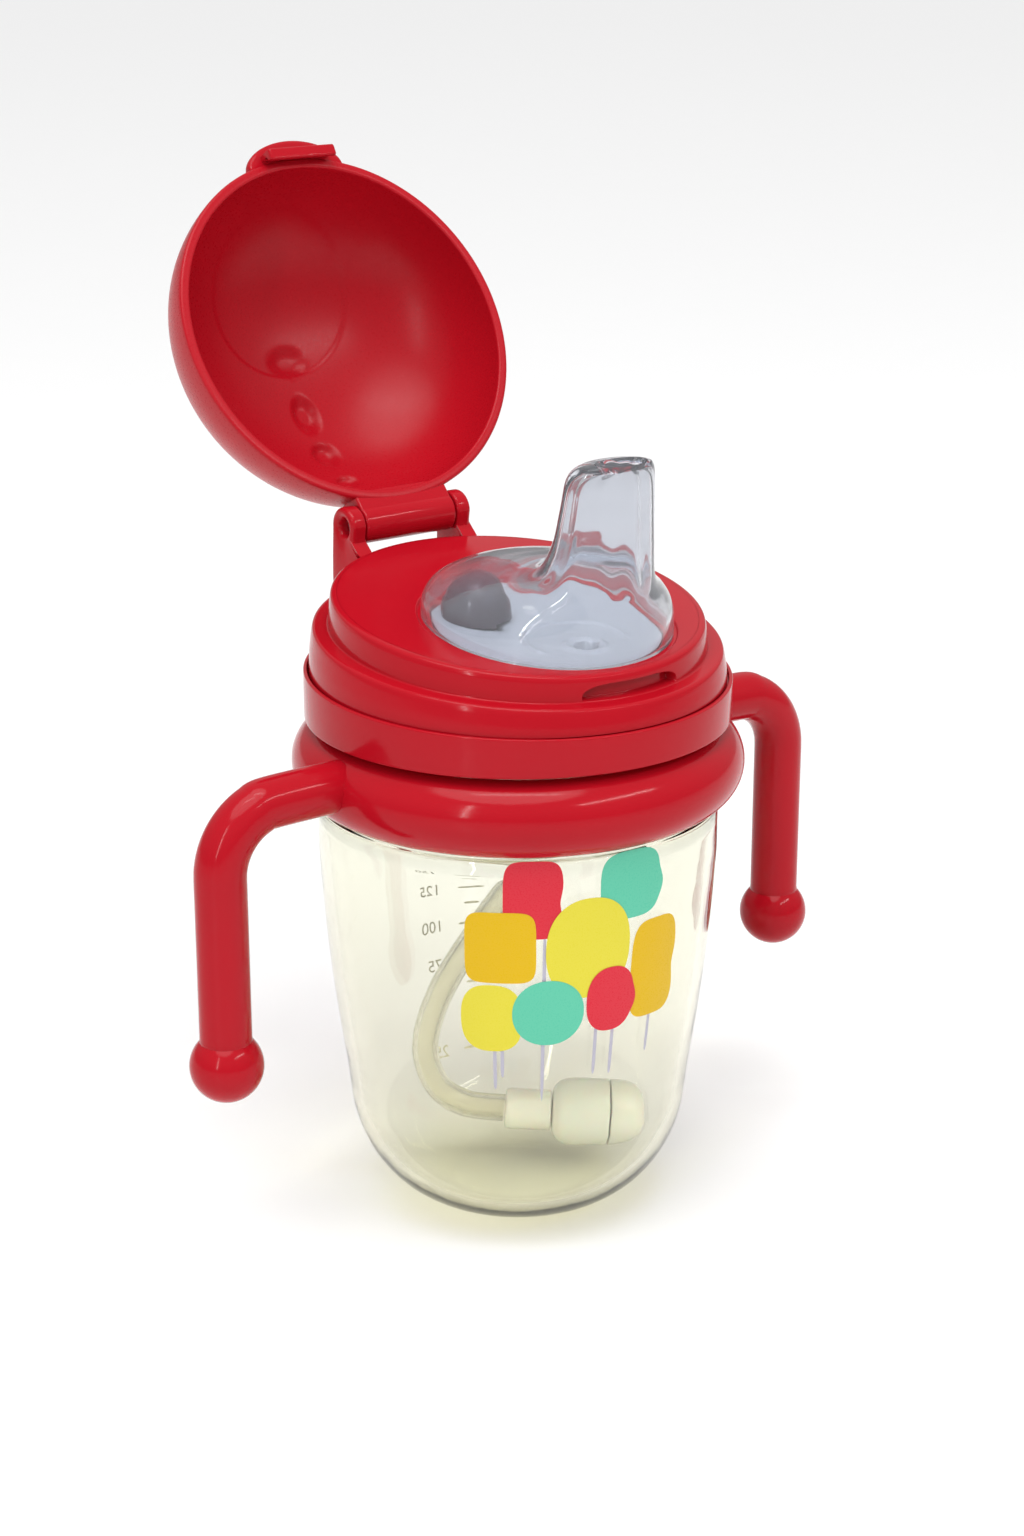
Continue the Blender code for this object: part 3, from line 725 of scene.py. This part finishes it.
def make_handle_ring():
    """D-section ring: three-quarter circle outside, flat against the tumbler's saddle."""
    half = math.acos((SADDLE_R + 0.3 - RING_ARC_X) / RING_ARC_R)
    t = steps(half, -half, 60)
    radius, height = RING_ARC_X + RING_ARC_R * np.cos(t), RING_Z + RING_ARC_R * np.sin(t)
    reach = np.zeros(60)
    reach[[0, -1]] = 0.3
    rows = soften(np.stack([radius, height, 0 * t, reach], 1))
    red_piece("carrying_ring", turned(rows, around(240)), "handles", "handle_ring")


def make_handles():
    """Bent arms carried along one smooth path, and the balls that close them."""
    high = RING_Z + ARM_LIFT
    middle = np.array([BALL_X - ARM_BEND, 0.0, high - ARM_BEND])
    turn = steps(math.pi / 2, 0, 9)
    corner = middle + ARM_BEND * np.stack([np.cos(turn), 0 * turn, np.sin(turn)], 1)
    start = [[x, 0, high] for x in (38.5, 41.5, 44.5)]
    drop = [[BALL_X, 0, z] for z in (70.0, 62.0, 54.0, 48.0, 45.2)]
    path = curve_through(np.concatenate([start, corner[1:], drop]), 8)

    centre_z = BALL_LOW[2] + BALL_R
    t = steps(-math.pi / 2, math.acos(ARM_R / BALL_R), 48)
    rows = np.stack([BALL_R * np.cos(t), centre_z + BALL_R * np.sin(t), 0 * t], 1)
    rows[0, 0] = 0
    top = rows[-1, 1]
    mouth = [(ARM_R + 0.02, top + 0.1, 0), (ARM_R + 0.02, top + 0.5, 0), (0, top + 0.5, 0)]
    ball = turned(np.concatenate([rows, mouth]), around(72))
    for side, label in ((-1, "left"), (1, "right")):
        arm = along(path * (side, 1, 1), (0, 1, 0), ARM_R, 48)
        red_piece(label + "_arm", capped(arm), "handles", label + "_handle", loop=False)
        ball_here = ball + (side * BALL_X, 0, 0)
        red_piece(label + "_ball", ball_here, "handles", label + "_handle_ball", loop=False)


# Collar and lid base


def make_collar():
    """Threaded band with a sloping rim and an inner shelf that holds the lid base down."""
    rim, edge = COLLAR_Z + 8.4, sizes().edge_round / MM
    rows = [
        (COLLAR_BORE_R, COLLAR_Z, 0.0, 0.3),
        (COLLAR_R, COLLAR_Z, 0.0, edge),
        (COLLAR_R, COLLAR_Z + 4, 0.0, 0.3),
        (COLLAR_R, rim, RIM_SLOPE, edge * 0.8),
        (BAND_R + 0.3, rim, RIM_SLOPE, 0.2),
        (BAND_R + 0.3, COLLAR_Z + 6.6, 0.0, 0.2),
        (35.8, COLLAR_Z + 6.6, 0.0, 0.2),
        (35.8, COLLAR_Z + 5.4, 0.0, 0.2),
        (36.7, COLLAR_Z + 5.3, 0.0, 0.1),
        (36.7, COLLAR_Z + 4.1, 0.0, 0.1),
        (COLLAR_BORE_R, COLLAR_Z + 3.9, 0.0, 0.2),
    ]
    profile = soften(rows)
    count = 40
    bore_z = steps(COLLAR_Z + 3.6, COLLAR_Z + 0.4, count)
    bore = np.stack([np.full(count, COLLAR_BORE_R), bore_z, np.zeros(count)], 1)
    angles = around(240)
    grid = turned(np.concatenate([profile, bore]), angles)
    raised = ridge(angles[None], bore_z[:, None], COLLAR_Z + 0.8, 0.8)
    raised = raised * (COLLAR_BORE_R - NECK_R - 0.3)
    push_out(grid[-count:], -raised, angles)
    red_piece("screw_band", grid, "collar", "screw_collar")


def slot_depth(angle, rise):
    """How deep the latch slot is, 0 to 1: an arched pocket with round ends at the front."""
    arc = np.abs((angle + math.pi / 2) * DECK_R)
    high = 0.85 + 2.1 * np.sqrt(1 - np.clip(arc / SLOT_HALF, 0, 1) ** 4)
    ends, sill = smooth((SLOT_HALF - arc) / 0.5), smooth((rise - 0.2) / 0.3)
    return ends * sill * smooth((high - rise) / 0.4)


def make_lid_base():
    """Band, ledge and sloping deck with the spout's seat and the latch slot."""
    edge = sizes().edge_round / MM
    rim, under_z = NECK_TOP, DECK_Z - DECK_T
    outer = [
        (DECK_R, rim - 4, 0.0, 0.2),
        (36.4, rim - 4, 0.0, 0.2),
        (36.4, rim - 3.3, 0.0, 0.2),
        (35.5, rim - 3.1, 0.0, 0.2),
        (35.5, rim - 1.4, 0.0, 0.2),
        (BAND_R, rim - 1.4, 0.0, 0.3),
        (BAND_R, rim, RIM_SLOPE, 0.3),
        (37.8, rim + 3, 0.08, 1.0),
        (37.4, rim + 5.6, 0.1, 0.4),
        (SHOULDER_R, LEDGE_Z, LEDGE_SLOPE, edge * 1.4),
        (DECK_R + 0.1, LEDGE_Z, LEDGE_SLOPE, 0.35),
        (DECK_R - 0.3, DECK_Z - 1.2, 0.13, 0.3),
        (DECK_R - 0.6, DECK_Z, DECK_SLOPE, edge * 2.2),
        (SPOUT_R + 3, DECK_Z, DECK_SLOPE, 0.0),
    ]
    profile = soften(outer, 7, ends=True)
    radius, height = profile[:, 0], profile[:, 1]
    wall = (radius < DECK_R + 0.12) & (radius > DECK_R - 0.55) & (height > LEDGE_Z)
    first, last = np.flatnonzero(wall)[[0, -1]]
    fine = fill_rows(profile[first : last + 1], 0.12)
    profile = np.concatenate([profile[:first], fine, profile[last + 1 : -1]])
    front = -math.pi / 2 + np.radians(steps(-21, 21, 211))
    rest = -math.pi / 2 + np.radians(steps(21, 339, 260))[1:-1]
    angles = np.concatenate([front, rest])
    rise = fine[:, 1:2] - LEDGE_Z + (fine[:, 2:3] - LEDGE_SLOPE) * -DECK_R
    from_front = np.where(angles > math.pi, angles - TAU, angles)[None]
    depth = SLOT_DEEP * slot_depth(from_front, rise)
    band = turned(profile, angles)
    push_out(band[first : first + len(fine)], -depth, angles)

    # The deck's rows are circles whose middle moves from the axis to the spout's and back.
    deck = soften([
        (DECK_R - 1.6, DECK_Z, DECK_SLOPE, 0.0),
        (SPOUT_R + 0.75, DECK_Z, DECK_SLOPE, 0.25),
        (SPOUT_R + 0.5, DECK_Z - 0.4, DECK_SLOPE, 0.1),
        (SPOUT_R - 2, DECK_Z - 0.4, DECK_SLOPE, 0.25),
        (SPOUT_R - 2, under_z, DECK_SLOPE, 0.25),
        (31.0, under_z, DECK_SLOPE, 0.0),
    ], 5, ends=True)
    middle = np.where(deck[:, 0] < SPOUT_R + 2, SPOUT_Y, 0.0)
    low = soften([
        (31.0, under_z, DECK_SLOPE, 0.0), (31.4, under_z - 0.4, 0.135, 0.0),
        (31.4, rim + 1.3, 0.0, 0.1), (DECK_R, rim + 1.3, 0.0, 0.1), (DECK_R, rim - 3.8, 0.0, 0.0),
    ], 4, ends=True)
    parts = [band, turned(deck, angles, middle[:, None]), turned(low[1:], angles)]
    red_piece("lid_deck", np.concatenate(parts), "lid_unit", "lid_base", sharp=40)


def make_hinge_ears():
    """Ears that hold the pin: an outline about the pin, drawn along X with rounded edges.

    A row of the section is (share of the outline's reach from the pin, x, distance added).
    """
    head = steps(0.1, 3.05, 24)
    back = HINGE_Y + EAR_R
    outline = np.array([
        (back, HINGE_Z),
        *zip(HINGE_Y + EAR_R * np.cos(head), HINGE_Z + EAR_R * np.sin(head)),
        (HINGE_Y - 3.3, HINGE_Z - 2.2),
        (HINGE_Y - 3.5, HINGE_Z - 4.1),
        (31.1, DECK_Z + DECK_SLOPE * 31 - 0.2),
        (31.1, LEDGE_Z - 0.8),
        (36.0, LEDGE_Z - 2.9),
        (38.2, LEDGE_Z - 3.1),
        (back, LEDGE_Z + 1.7),
        (back, HINGE_Z),
    ])
    rows = np.column_stack([outline, np.zeros(len(outline)), np.full(len(outline), 1.2)])
    dense = fill_rows(soften(rows, 4, ends=True), 0.3)[:, :2] - (HINGE_Y, HINGE_Z)
    bearing = np.unwrap(np.arctan2(dense[:, 1], dense[:, 0]))
    turn = around(180)
    reach = np.interp(turn, bearing, np.hypot(*dense.T), period=TAU)
    hole = PIN_R + 0.08
    section = [(0, EAR_IN_X, hole), (0, EAR_IN_X, 2.2)]
    for t in steps(0, math.pi / 2, 6):
        section.append((1, EAR_IN_X + 0.5 * (1 - math.cos(t)), -0.5 * (1 - math.sin(t))))
    for t in steps(0, math.pi / 2, 8):
        section.append((1, EAR_OUT_X - 0.9 * (1 - math.sin(t)), -0.9 * (1 - math.cos(t))))
    section += [
        (0, EAR_OUT_X, 2.6), (0, EAR_OUT_X - 0.35, 2.0), (0, EAR_OUT_X - 0.9, hole + 0.04),
        (0, EAR_OUT_X - 1.5, hole),
    ]
    share, x, add = np.array(section).T[:, :, None]
    out = share * reach + add
    y, z = HINGE_Y + out * np.cos(turn), HINGE_Z + out * np.sin(turn)
    for side, label in ((-1, "left"), (1, "right")):
        grid = np.stack([side * x + 0 * out, y, z], -1)
        red_piece(label + "_ear", grid, "lid_unit", sharp=40)


# Flip lid


def dome(radius, height, t):
    """Superellipse meridian: radius cos^(2/p), height sin^(2/p)."""
    return radius * np.cos(t) ** (2 / LID_POWER), height * np.sin(t) ** (2 / LID_POWER)


# (middle along the lid, half width, half length, depth) of each moulded bowl inside the dome
BOWLS = (
    (-3.0, 5.2, 3.6, 0.8), (8.5, 3.4, 5.0, 1.3), (18.0, 3.4, 3.4, 1.3), (25.5, 3.0, 2.0, 1.1),
)


def lid_marks(x, y):
    """Depth in mm of the moulded marks inside the dome: a shallow disc and a row of bowls."""
    disc = np.hypot(x, y + 15.0)
    marks = 0.22 * smooth((15.5 - disc) / 0.9)
    for middle, half_x, half_y, deep in BOWLS:
        marks = marks + deep * smooth((1 - np.hypot(x / half_x, (y - middle) / half_y)) / 0.7)
    return marks


def bar(name, outline, half, place, *nodes):
    """An outline of (y, z, softening) drawn along X between two rounded ends."""
    flat = soften([(y, z, 0, soft) for y, z, soft in outline], 6)[:, :2]
    centre = flat.mean(0)
    inset = 0.5 * (1 - np.sin(steps(0, math.pi / 2, 6)))
    middle = steps(-half + 0.5, half - 0.5, 12)[1:-1]
    x = np.sort(np.concatenate([-half + inset, middle, half - inset]))
    size = np.concatenate([inset, np.zeros(10), inset[::-1]])[:, None, None]
    spread = np.linalg.norm(flat - centre, axis=1).mean()
    ring = centre + (flat - centre)[None] * (1 - size / spread)
    grid = np.concatenate([np.broadcast_to(x[:, None, None], ring[..., :1].shape), ring], -1)
    red_piece(name, place(capped(grid)), "lid", *nodes, loop=False)


def swung(points):
    """From the hinge's own frame, with the lid shut, to where the open lid stands."""
    return tilted(points + (0, HINGE_Y, HINGE_Z), -LID_OPEN, (HINGE_Y, HINGE_Z))


def make_flip_lid():
    """Dome shell with rolled rim and moulded marks, its thumb tab, latch hook, web and barrel."""
    t = steps(math.pi / 2, 0, 90)
    bore = LID_R - LID_WALL
    outer = np.stack([*dome(LID_R, LID_H, t), 0 * t], 1)
    inner = np.stack([*dome(bore, LID_H - LID_WALL, t[::-1]), 0 * t], 1)
    outer[0, 0] = inner[-1, 0] = 0.0
    rim = [(LID_R, 1.2, 0, 0), (LID_R, 0, 0, 0.8), (bore, 0, 0, 0.7), (bore, 1.2, 0, 0)]
    outer, inner = outer[outer[:, 1] > 1.3], inner[inner[:, 1] > 1.3]
    rows = np.concatenate([outer, soften(rim, 10, ends=True), inner])
    grid = turned(rows, around(288))
    last = grid[-len(inner) :]
    last[..., 2] += lid_marks(last[..., 0], last[..., 1])
    grid[-1] = grid[-1].mean(0)
    surface(
        "lid_dome", shut_to_open(grid), satin_polypropylene(), "lid", ["flip_lid"], loop=False,
        slot="red_plastic",
    )

    # Thumb tab: a slab bent round the rim, whose reach beyond it is a half ellipse.
    s = np.sin(steps(-math.pi / 2, math.pi / 2, 40))
    bearing = (-math.pi / 2 + s * 10.5 / LID_R)[:, None]
    root = LID_R - 1.5
    tip = LID_R - 0.1 + 4.2 * np.sqrt(np.clip(1 - s**2, 0.001, 1))
    section = soften([(0, 0.3, 0, 0.1), (1, 0.3, 0, 0.8), (1, 2.6, 0, 1.0), (0, 2.6, 0, 0.1)], 8)
    radius = root + (tip - root)[:, None] * section[None, :, 0]
    x, y = radius * np.cos(bearing), radius * np.sin(bearing)
    tab = np.stack([x, y, section[None, :, 1] + 0 * radius], -1)
    red_piece("thumb_tab", shut_to_open(capped(tab)), "lid", loop=False)

    hook = [
        (-36.0, 1.5, 0.1), (-34.75, 1.5, 0.1), (-34.75, -2.0, 0.2), (-33.7, -2.2, 0.4),
        (-33.7, -3.3, 0.4), (-36.0, -3.3, 0.6),
    ]
    bar("latch_hook", hook, 7.4, shut_to_open)
    web = [(-5.6, -2.9, 0.5), (0.0, -3.4, 0.3), (0.0, 3.4, 0.3), (-5.2, 4.2, 0.5)]
    bar("lid_web", web, BARREL_HALF, swung)
    barrel = rod(-BARREL_HALF, BARREL_HALF, BARREL_R, 0.5, 72)
    red_piece("lid_barrel", swung(barrel), "lid", loop=False)


def make_hinge_pin():
    """Turned pin with rounded ends, set back inside the ears."""
    grid = rod(PIN_LOW[0] + PIN_INSET, PIN_HIGH[0] - PIN_INSET, PIN_R, 0.3, 48)
    grid = grid + (0, HINGE_Y, HINGE_Z)
    surface("pin", grid, turned_steel(), "lid_unit", ["hinge_pin"], loop=False, slot="steel")


# Spout and what is under it

# (height over the seat, half width, half depth) up the spout
SPOUT_ROWS = (
    (0.0, 22.6, 22.6), (2.8, 22.4, 22.4), (5.5, 21.2, 21.2), (8.0, 18.4, 18.6), (9.8, 15.2, 14.9),
    (11.3, 12.6, 11.2), (13.6, 10.8, 8.6), (18.4, 9.8, 6.9), (24.5, 9.2, 6.0), (29.8, 8.7, 5.3),
    (32.0, 7.5, 4.2), (32.8, 5.4, 2.6),
)


def spout_rings(inset, angles):
    """Ellipses up a smooth curve through SPOUT_ROWS: the front stays plumb, the back draws in.

    Each stands on the slope of the deck, a slope that eases with height.
    """
    rows = curve_through(SPOUT_ROWS, 10)
    height, half_x, half_y = rows.T[:, :, None]
    height = np.maximum(height, 0)
    middle = SPOUT_Y - SPOUT_R - 0.02 * height + half_y
    lean = DECK_SLOPE * (1 - height / 60)
    up = height - inset * np.clip(height / 6, 0, 1)
    x = (half_x - inset) * np.cos(angles)
    y = middle + (half_y - inset) * np.sin(angles)
    return np.stack([x, y, DECK_Z - 0.1 + lean * y + up], -1)


def make_spout():
    """Soft spout of even wall, open below and through the slot at its tip."""
    angles = around(192)
    outer, inner = spout_rings(0, angles), spout_rings(SPOUT_WALL, angles)
    # The core that shaped the inside of the mouthpiece left faint upright flutes.
    share_up = (np.arange(len(inner)) / len(inner))[:, None]
    flute = 0.13 * np.cos(9 * angles) * smooth((share_up - 0.45) / 0.1)
    push_out(inner, flute, angles)
    grid = np.concatenate([outer, inner[::-1]])
    made = surface(
        "soft_spout", grid, clear_silicone(), "lid_unit", ["spout"], sharp=60, slot="clear_silicone"
    )
    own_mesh(made)


def make_spout_floor():
    """Sloping plate, z = slope * y, with a lip round the drinking hole and an arched ridge."""
    angles = around(120)
    radius = np.concatenate([[0], steps(0.4, 19.9, 90)])[:, None]
    x, y = radius * np.cos(angles), SPOUT_Y + radius * np.sin(angles)
    far = np.hypot(x, y - DRINK_Y)
    lip = 0.5 * smooth(1 - np.abs(far - 3.4) / 0.8)
    hole = 3.0 * smooth((2.1 - far) / 0.5)
    arch = 0.45 * smooth(1 - np.abs(np.hypot(x, y - DRINK_Y - 2) - 9.5) / 0.7) * (y > DRINK_Y)
    plate = np.stack([x, y, DECK_Z - 0.6 + DECK_SLOPE * y + lip + arch - hole], -1)
    rest = [
        (20.3, -0.6, 0.3), (20.3, -DECK_T - 0.3, 0.1), (22.0, -DECK_T - 0.3, 0.2),
        (22.0, -3.5, 0.4), (0, -3.5, 0.0),
    ]
    rest = soften([(r, DECK_Z + z, DECK_SLOPE, reach) for r, z, reach in rest], 5, ends=True)
    surface(
        "spout_floor", np.concatenate([plate, turned(rest, angles, SPOUT_Y)]), pale_plastic(),
        "lid_unit", ["spout_insert"], loop=False, slot="pale_plastic",
    )


def make_valve_and_seals():
    """The vent's quarter-ellipse dome, the straw's stepped nipple and the square seal, turned."""
    low, high = corner_mm("vent_valve")
    centre = (low + high) / 2
    t = steps(math.pi / 2, 0, 24)
    height = high[2] - low[2] - 1.5
    rows = np.stack([6.0 * np.cos(t), low[2] + 1.5 + height * np.sin(t), 0 * t], 1)
    rows[0, 0] = 0
    foot = [(6.0, low[2] + 0.3, 0.0), (0, low[2] + 0.3, 0.0)]
    vent = turned(np.concatenate([rows, foot]), around(72)) + (centre[0], centre[1], 0)
    surface(
        "vent_dome", vent, grey_silicone(), "lid_unit", ["vent_valve"], loop=False,
        slot="grey_silicone",
    )

    low, high = corner_mm("straw_adapter")
    rows = soften([
        (1.2, low[2], 0, 0.1), (2.9, low[2], 0, 0.4), (2.9, high[2] - 5.4, 0, 0.6),
        (5.4, high[2] - 2.2, 0, 0.4), (5.4, high[2] - 0.9, 0, 0.2), (1.9, high[2] - 0.9, 0, 0.2),
        (1.2, high[2] - 4.4, 0, 0.4),
    ], 5)
    surface(
        "straw_nipple", turned(rows, around(72)) + (0, DRINK_Y, 0), pale_plastic(), "lid_unit",
        ["straw_adapter"], slot="pale_plastic",
    )

    low, high = corner_mm("lid_gasket")
    corners = ((31.6, low[2]), (34.0, low[2]), (34.0, high[2]), (31.6, high[2]))
    rows = soften([(r, z, 0, 0.12) for r, z in corners], 5)
    surface(
        "rim_seal", turned(rows, around(180)), white_silicone(), "lid_unit", ["lid_gasket"],
        slot="white_silicone",
    )


# Straw and sinker

STRAW_ROUTE = (
    (0.0, -20.0, 98.0), (-0.4, -18.6, 88.0), (-1.8, -12.6, 76.0), (-4.4, -4.6, 64.0),
    (-8.8, 1.8, 52.0), (-13.6, 5.8, 41.0), (-15.8, 8.0, 30.0), (-13.2, 8.2, 21.0),
    (-8.2, 5.9, 16.6), SINKER_START,
)


def make_straw(pieces):
    """Hollow tube: an outer skin along the route and an inner one back along it."""
    path = curve_through(STRAW_ROUTE, 12)
    outer = along(path, (1, 0, 0.2), STRAW_R, 40)
    inner = along(path, (1, 0, 0.2), STRAW_BORE_R, 40)
    grid = np.concatenate([outer, inner[::-1]])
    tube = surface(
        "straw", grid, milky_silicone(), "lid_unit", ["straw_tube"], slot="cream_silicone"
    )


def on_sinker(points):
    """From the sinker's own axis, Z along it, to where it lies in the cup."""
    way = np.array(SINKER_AXIS) / np.linalg.norm(SINKER_AXIS)
    side = np.cross(way, (0, 0, 1))
    side /= np.linalg.norm(side)
    up = np.cross(side, way)
    return np.array(SINKER_START) + points @ np.stack([side, up, way])


def make_sinker():
    """Sleeve, two shell halves, steel ring and inlet valve, all turned about one axis."""
    parts = {
        "sleeve": ("straw_sleeve", cream_plastic, "cream_plastic", [
            (1.4, 0.3, 0.3), (3.6, 0.3, 0.5), (3.9, 1.4, 0.4), (3.9, 9.0, 0.5), (1.4, 9.0, 0.2)]),
        "sinker_shell": ("weight_housing", cream_plastic, "cream_plastic", [
            (1.4, 9.3, 0.2), (4.2, 9.3, 0.6), (5.7, 10.4, 1.2), (6.5, 12.6, 1.2), (6.5, 20.0, 0.3),
            (5.2, 20.0, 0.2), (5.2, 12.3, 0.2), (1.4, 12.3, 0.2)]),
        "sinker_ring": ("steel_weight", turned_steel, "steel", [
            (1.7, 12.6, 0.3), (4.9, 12.6, 0.4), (4.9, 19.7, 0.4), (1.7, 19.7, 0.3)]),
        "sinker_cap": ("weight_cap", cream_plastic, "cream_plastic", [
            (4.6, 20.3, 0.2), (6.5, 20.3, 0.3), (6.5, 23.0, 1.2), (5.8, 25.2, 1.0),
            (4.3, 26.6, 0.8), (2.4, 27.0, 0.4), (1.7, 27.0, 0.2), (1.7, 24.6, 0.2),
            (4.6, 24.0, 0.3)]),
        "inlet_valve": ("check_valve", white_silicone, "white_silicone", [
            (0, 20.7, 0), (4.2, 20.7, 0.2), (4.2, 21.7, 0.2), (2.0, 21.9, 0.3), (1.0, 24.0, 0.3),
            (0, 24.2, 0)]),
    }
    made = []
    for name, (node, material, slot, rows) in parts.items():
        solid = rows[0][0] == 0
        rows = soften([(r, z, 0.0, reach) for r, z, reach in rows], 6, ends=solid)
        grid = on_sinker(turned(rows, around(96)))
        made.append(surface(name, grid, material(), "lid_unit", [node], loop=not solid, slot=slot))
    return made


# Add-on


class SippyLooks(bpy.types.PropertyGroup):
    """Colours and light that a user would change."""

    red: FloatVectorProperty(
        name="Red", description="Colour of the lid, bands and handles", subtype="COLOR", size=4,
        min=0, max=1, default=linear("#B2101F"),
    )
    tumbler: FloatVectorProperty(
        name="Tumbler", description="What a deep wall of the clear plastic lets through",
        subtype="COLOR", size=4, min=0, max=1, default=linear("#E2D98C"),
    )
    silicone: FloatVectorProperty(
        name="Silicone", description="Tint of the clear spout", subtype="COLOR", size=4,
        min=0, max=1, default=linear("#E0E2E7"),
    )
    cream: FloatVectorProperty(
        name="Cream", description="Colour of the straw and its sinker", subtype="COLOR", size=4,
        min=0, max=1, default=linear("#FDFBEE"),
    )
    room_light: FloatProperty(
        name="Room light", description="Strength of the white light from all round",
        default=0.64, min=0, max=3, subtype="FACTOR",
    )


class SippySizes(bpy.types.PropertyGroup):
    """Small sizes that don't change the cup's outer dimensions."""

    edge_round: FloatProperty(
        name="Edge rounding", description="How far each moulded edge is rounded",
        subtype="DISTANCE", unit="LENGTH", default=0.5 * MM, min=0.1 * MM, max=0.9 * MM,
    )
    thread_depth: FloatProperty(
        name="Thread depth", description="Height of the ridge on the neck",
        subtype="DISTANCE", unit="LENGTH", default=0.9 * MM, min=0.3 * MM, max=1.0 * MM,
    )


class SIPPY_OT_stage(bpy.types.Operator):
    """Adds the floor, the softboxes and the camera"""

    bl_idname = "sippy.stage"
    bl_label = "Stage"

    def execute(self, context):
        make_stage()
        return {"FINISHED"}


class SIPPY_OT_straw(bpy.types.Operator):
    """Adds the soft tube and the weight at its end"""

    bl_idname = "sippy.straw"
    bl_label = "Straw and sinker"

    def execute(self, context):
        make_straw(make_sinker())
        return {"FINISHED"}


class SIPPY_OT_tumbler(bpy.types.Operator):
    """Adds the clear tumbler"""

    bl_idname = "sippy.tumbler"
    bl_label = "Tumbler"

    def execute(self, context):
        make_tumbler()
        return {"FINISHED"}


class SIPPY_OT_decoration(bpy.types.Operator):
    """Adds the printed balloons and the scale"""

    bl_idname = "sippy.decoration"
    bl_label = "Print"

    def execute(self, context):
        make_print()
        make_graduations()
        return {"FINISHED"}


class SIPPY_OT_handles(bpy.types.Operator):
    """Adds the ring, the arms and their balls"""

    bl_idname = "sippy.handles"
    bl_label = "Handles"

    def execute(self, context):
        make_handle_ring()
        make_handles()
        return {"FINISHED"}


class SIPPY_OT_collar(bpy.types.Operator):
    """Adds the threaded band"""

    bl_idname = "sippy.collar"
    bl_label = "Collar"

    def execute(self, context):
        make_collar()
        return {"FINISHED"}


class SIPPY_OT_base(bpy.types.Operator):
    """Adds the deck with its slot and ears"""

    bl_idname = "sippy.base"
    bl_label = "Lid base"

    def execute(self, context):
        make_lid_base()
        make_hinge_ears()
        return {"FINISHED"}


class SIPPY_OT_lid(bpy.types.Operator):
    """Adds the dome lid and its pin"""

    bl_idname = "sippy.lid"
    bl_label = "Flip lid"

    def execute(self, context):
        make_flip_lid()
        make_hinge_pin()
        return {"FINISHED"}


class SIPPY_OT_spout(bpy.types.Operator):
    """Adds the soft spout, its floor, the vent, the straw's nipple and the seal"""

    bl_idname = "sippy.spout"
    bl_label = "Spout"

    def execute(self, context):
        make_spout()
        make_spout_floor()
        make_valve_and_seals()
        return {"FINISHED"}


OPERATORS = (
    SIPPY_OT_stage, SIPPY_OT_straw, SIPPY_OT_tumbler, SIPPY_OT_decoration, SIPPY_OT_handles,
    SIPPY_OT_collar, SIPPY_OT_base, SIPPY_OT_lid, SIPPY_OT_spout,
)


class SIPPY_PT_panel(bpy.types.Panel):
    """Lists the sizes, the colours and the steps."""

    bl_label = "Sippy cup"
    bl_idname = "SIPPY_PT_panel"
    bl_space_type = "VIEW_3D"
    bl_region_type = "UI"
    bl_category = "Sippy cup"

    def draw(self, context):
        for group in (context.scene.sippy_sizes, context.scene.sippy_looks):
            for key in group.__annotations__:
                self.layout.prop(group, key)
        for each in OPERATORS:
            self.layout.operator(each.bl_idname)


CLASSES = (SippyLooks, SippySizes, *OPERATORS, SIPPY_PT_panel)


def register():
    for each in CLASSES:
        bpy.utils.register_class(each)
    bpy.types.Scene.sippy_looks = PointerProperty(type=SippyLooks)
    bpy.types.Scene.sippy_sizes = PointerProperty(type=SippySizes)


def unregister():
    del bpy.types.Scene.sippy_sizes
    del bpy.types.Scene.sippy_looks
    for each in reversed(CLASSES):
        bpy.utils.unregister_class(each)


def main():
    """Registers the add-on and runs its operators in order."""
    register()
    bpy.ops.sippy.stage()
    bpy.ops.sippy.straw()
    bpy.ops.sippy.tumbler()
    bpy.ops.sippy.decoration()
    bpy.ops.sippy.handles()
    bpy.ops.sippy.collar()
    bpy.ops.sippy.base()
    bpy.ops.sippy.lid()
    bpy.ops.sippy.spout()


if __name__ == "__main__":
    main()
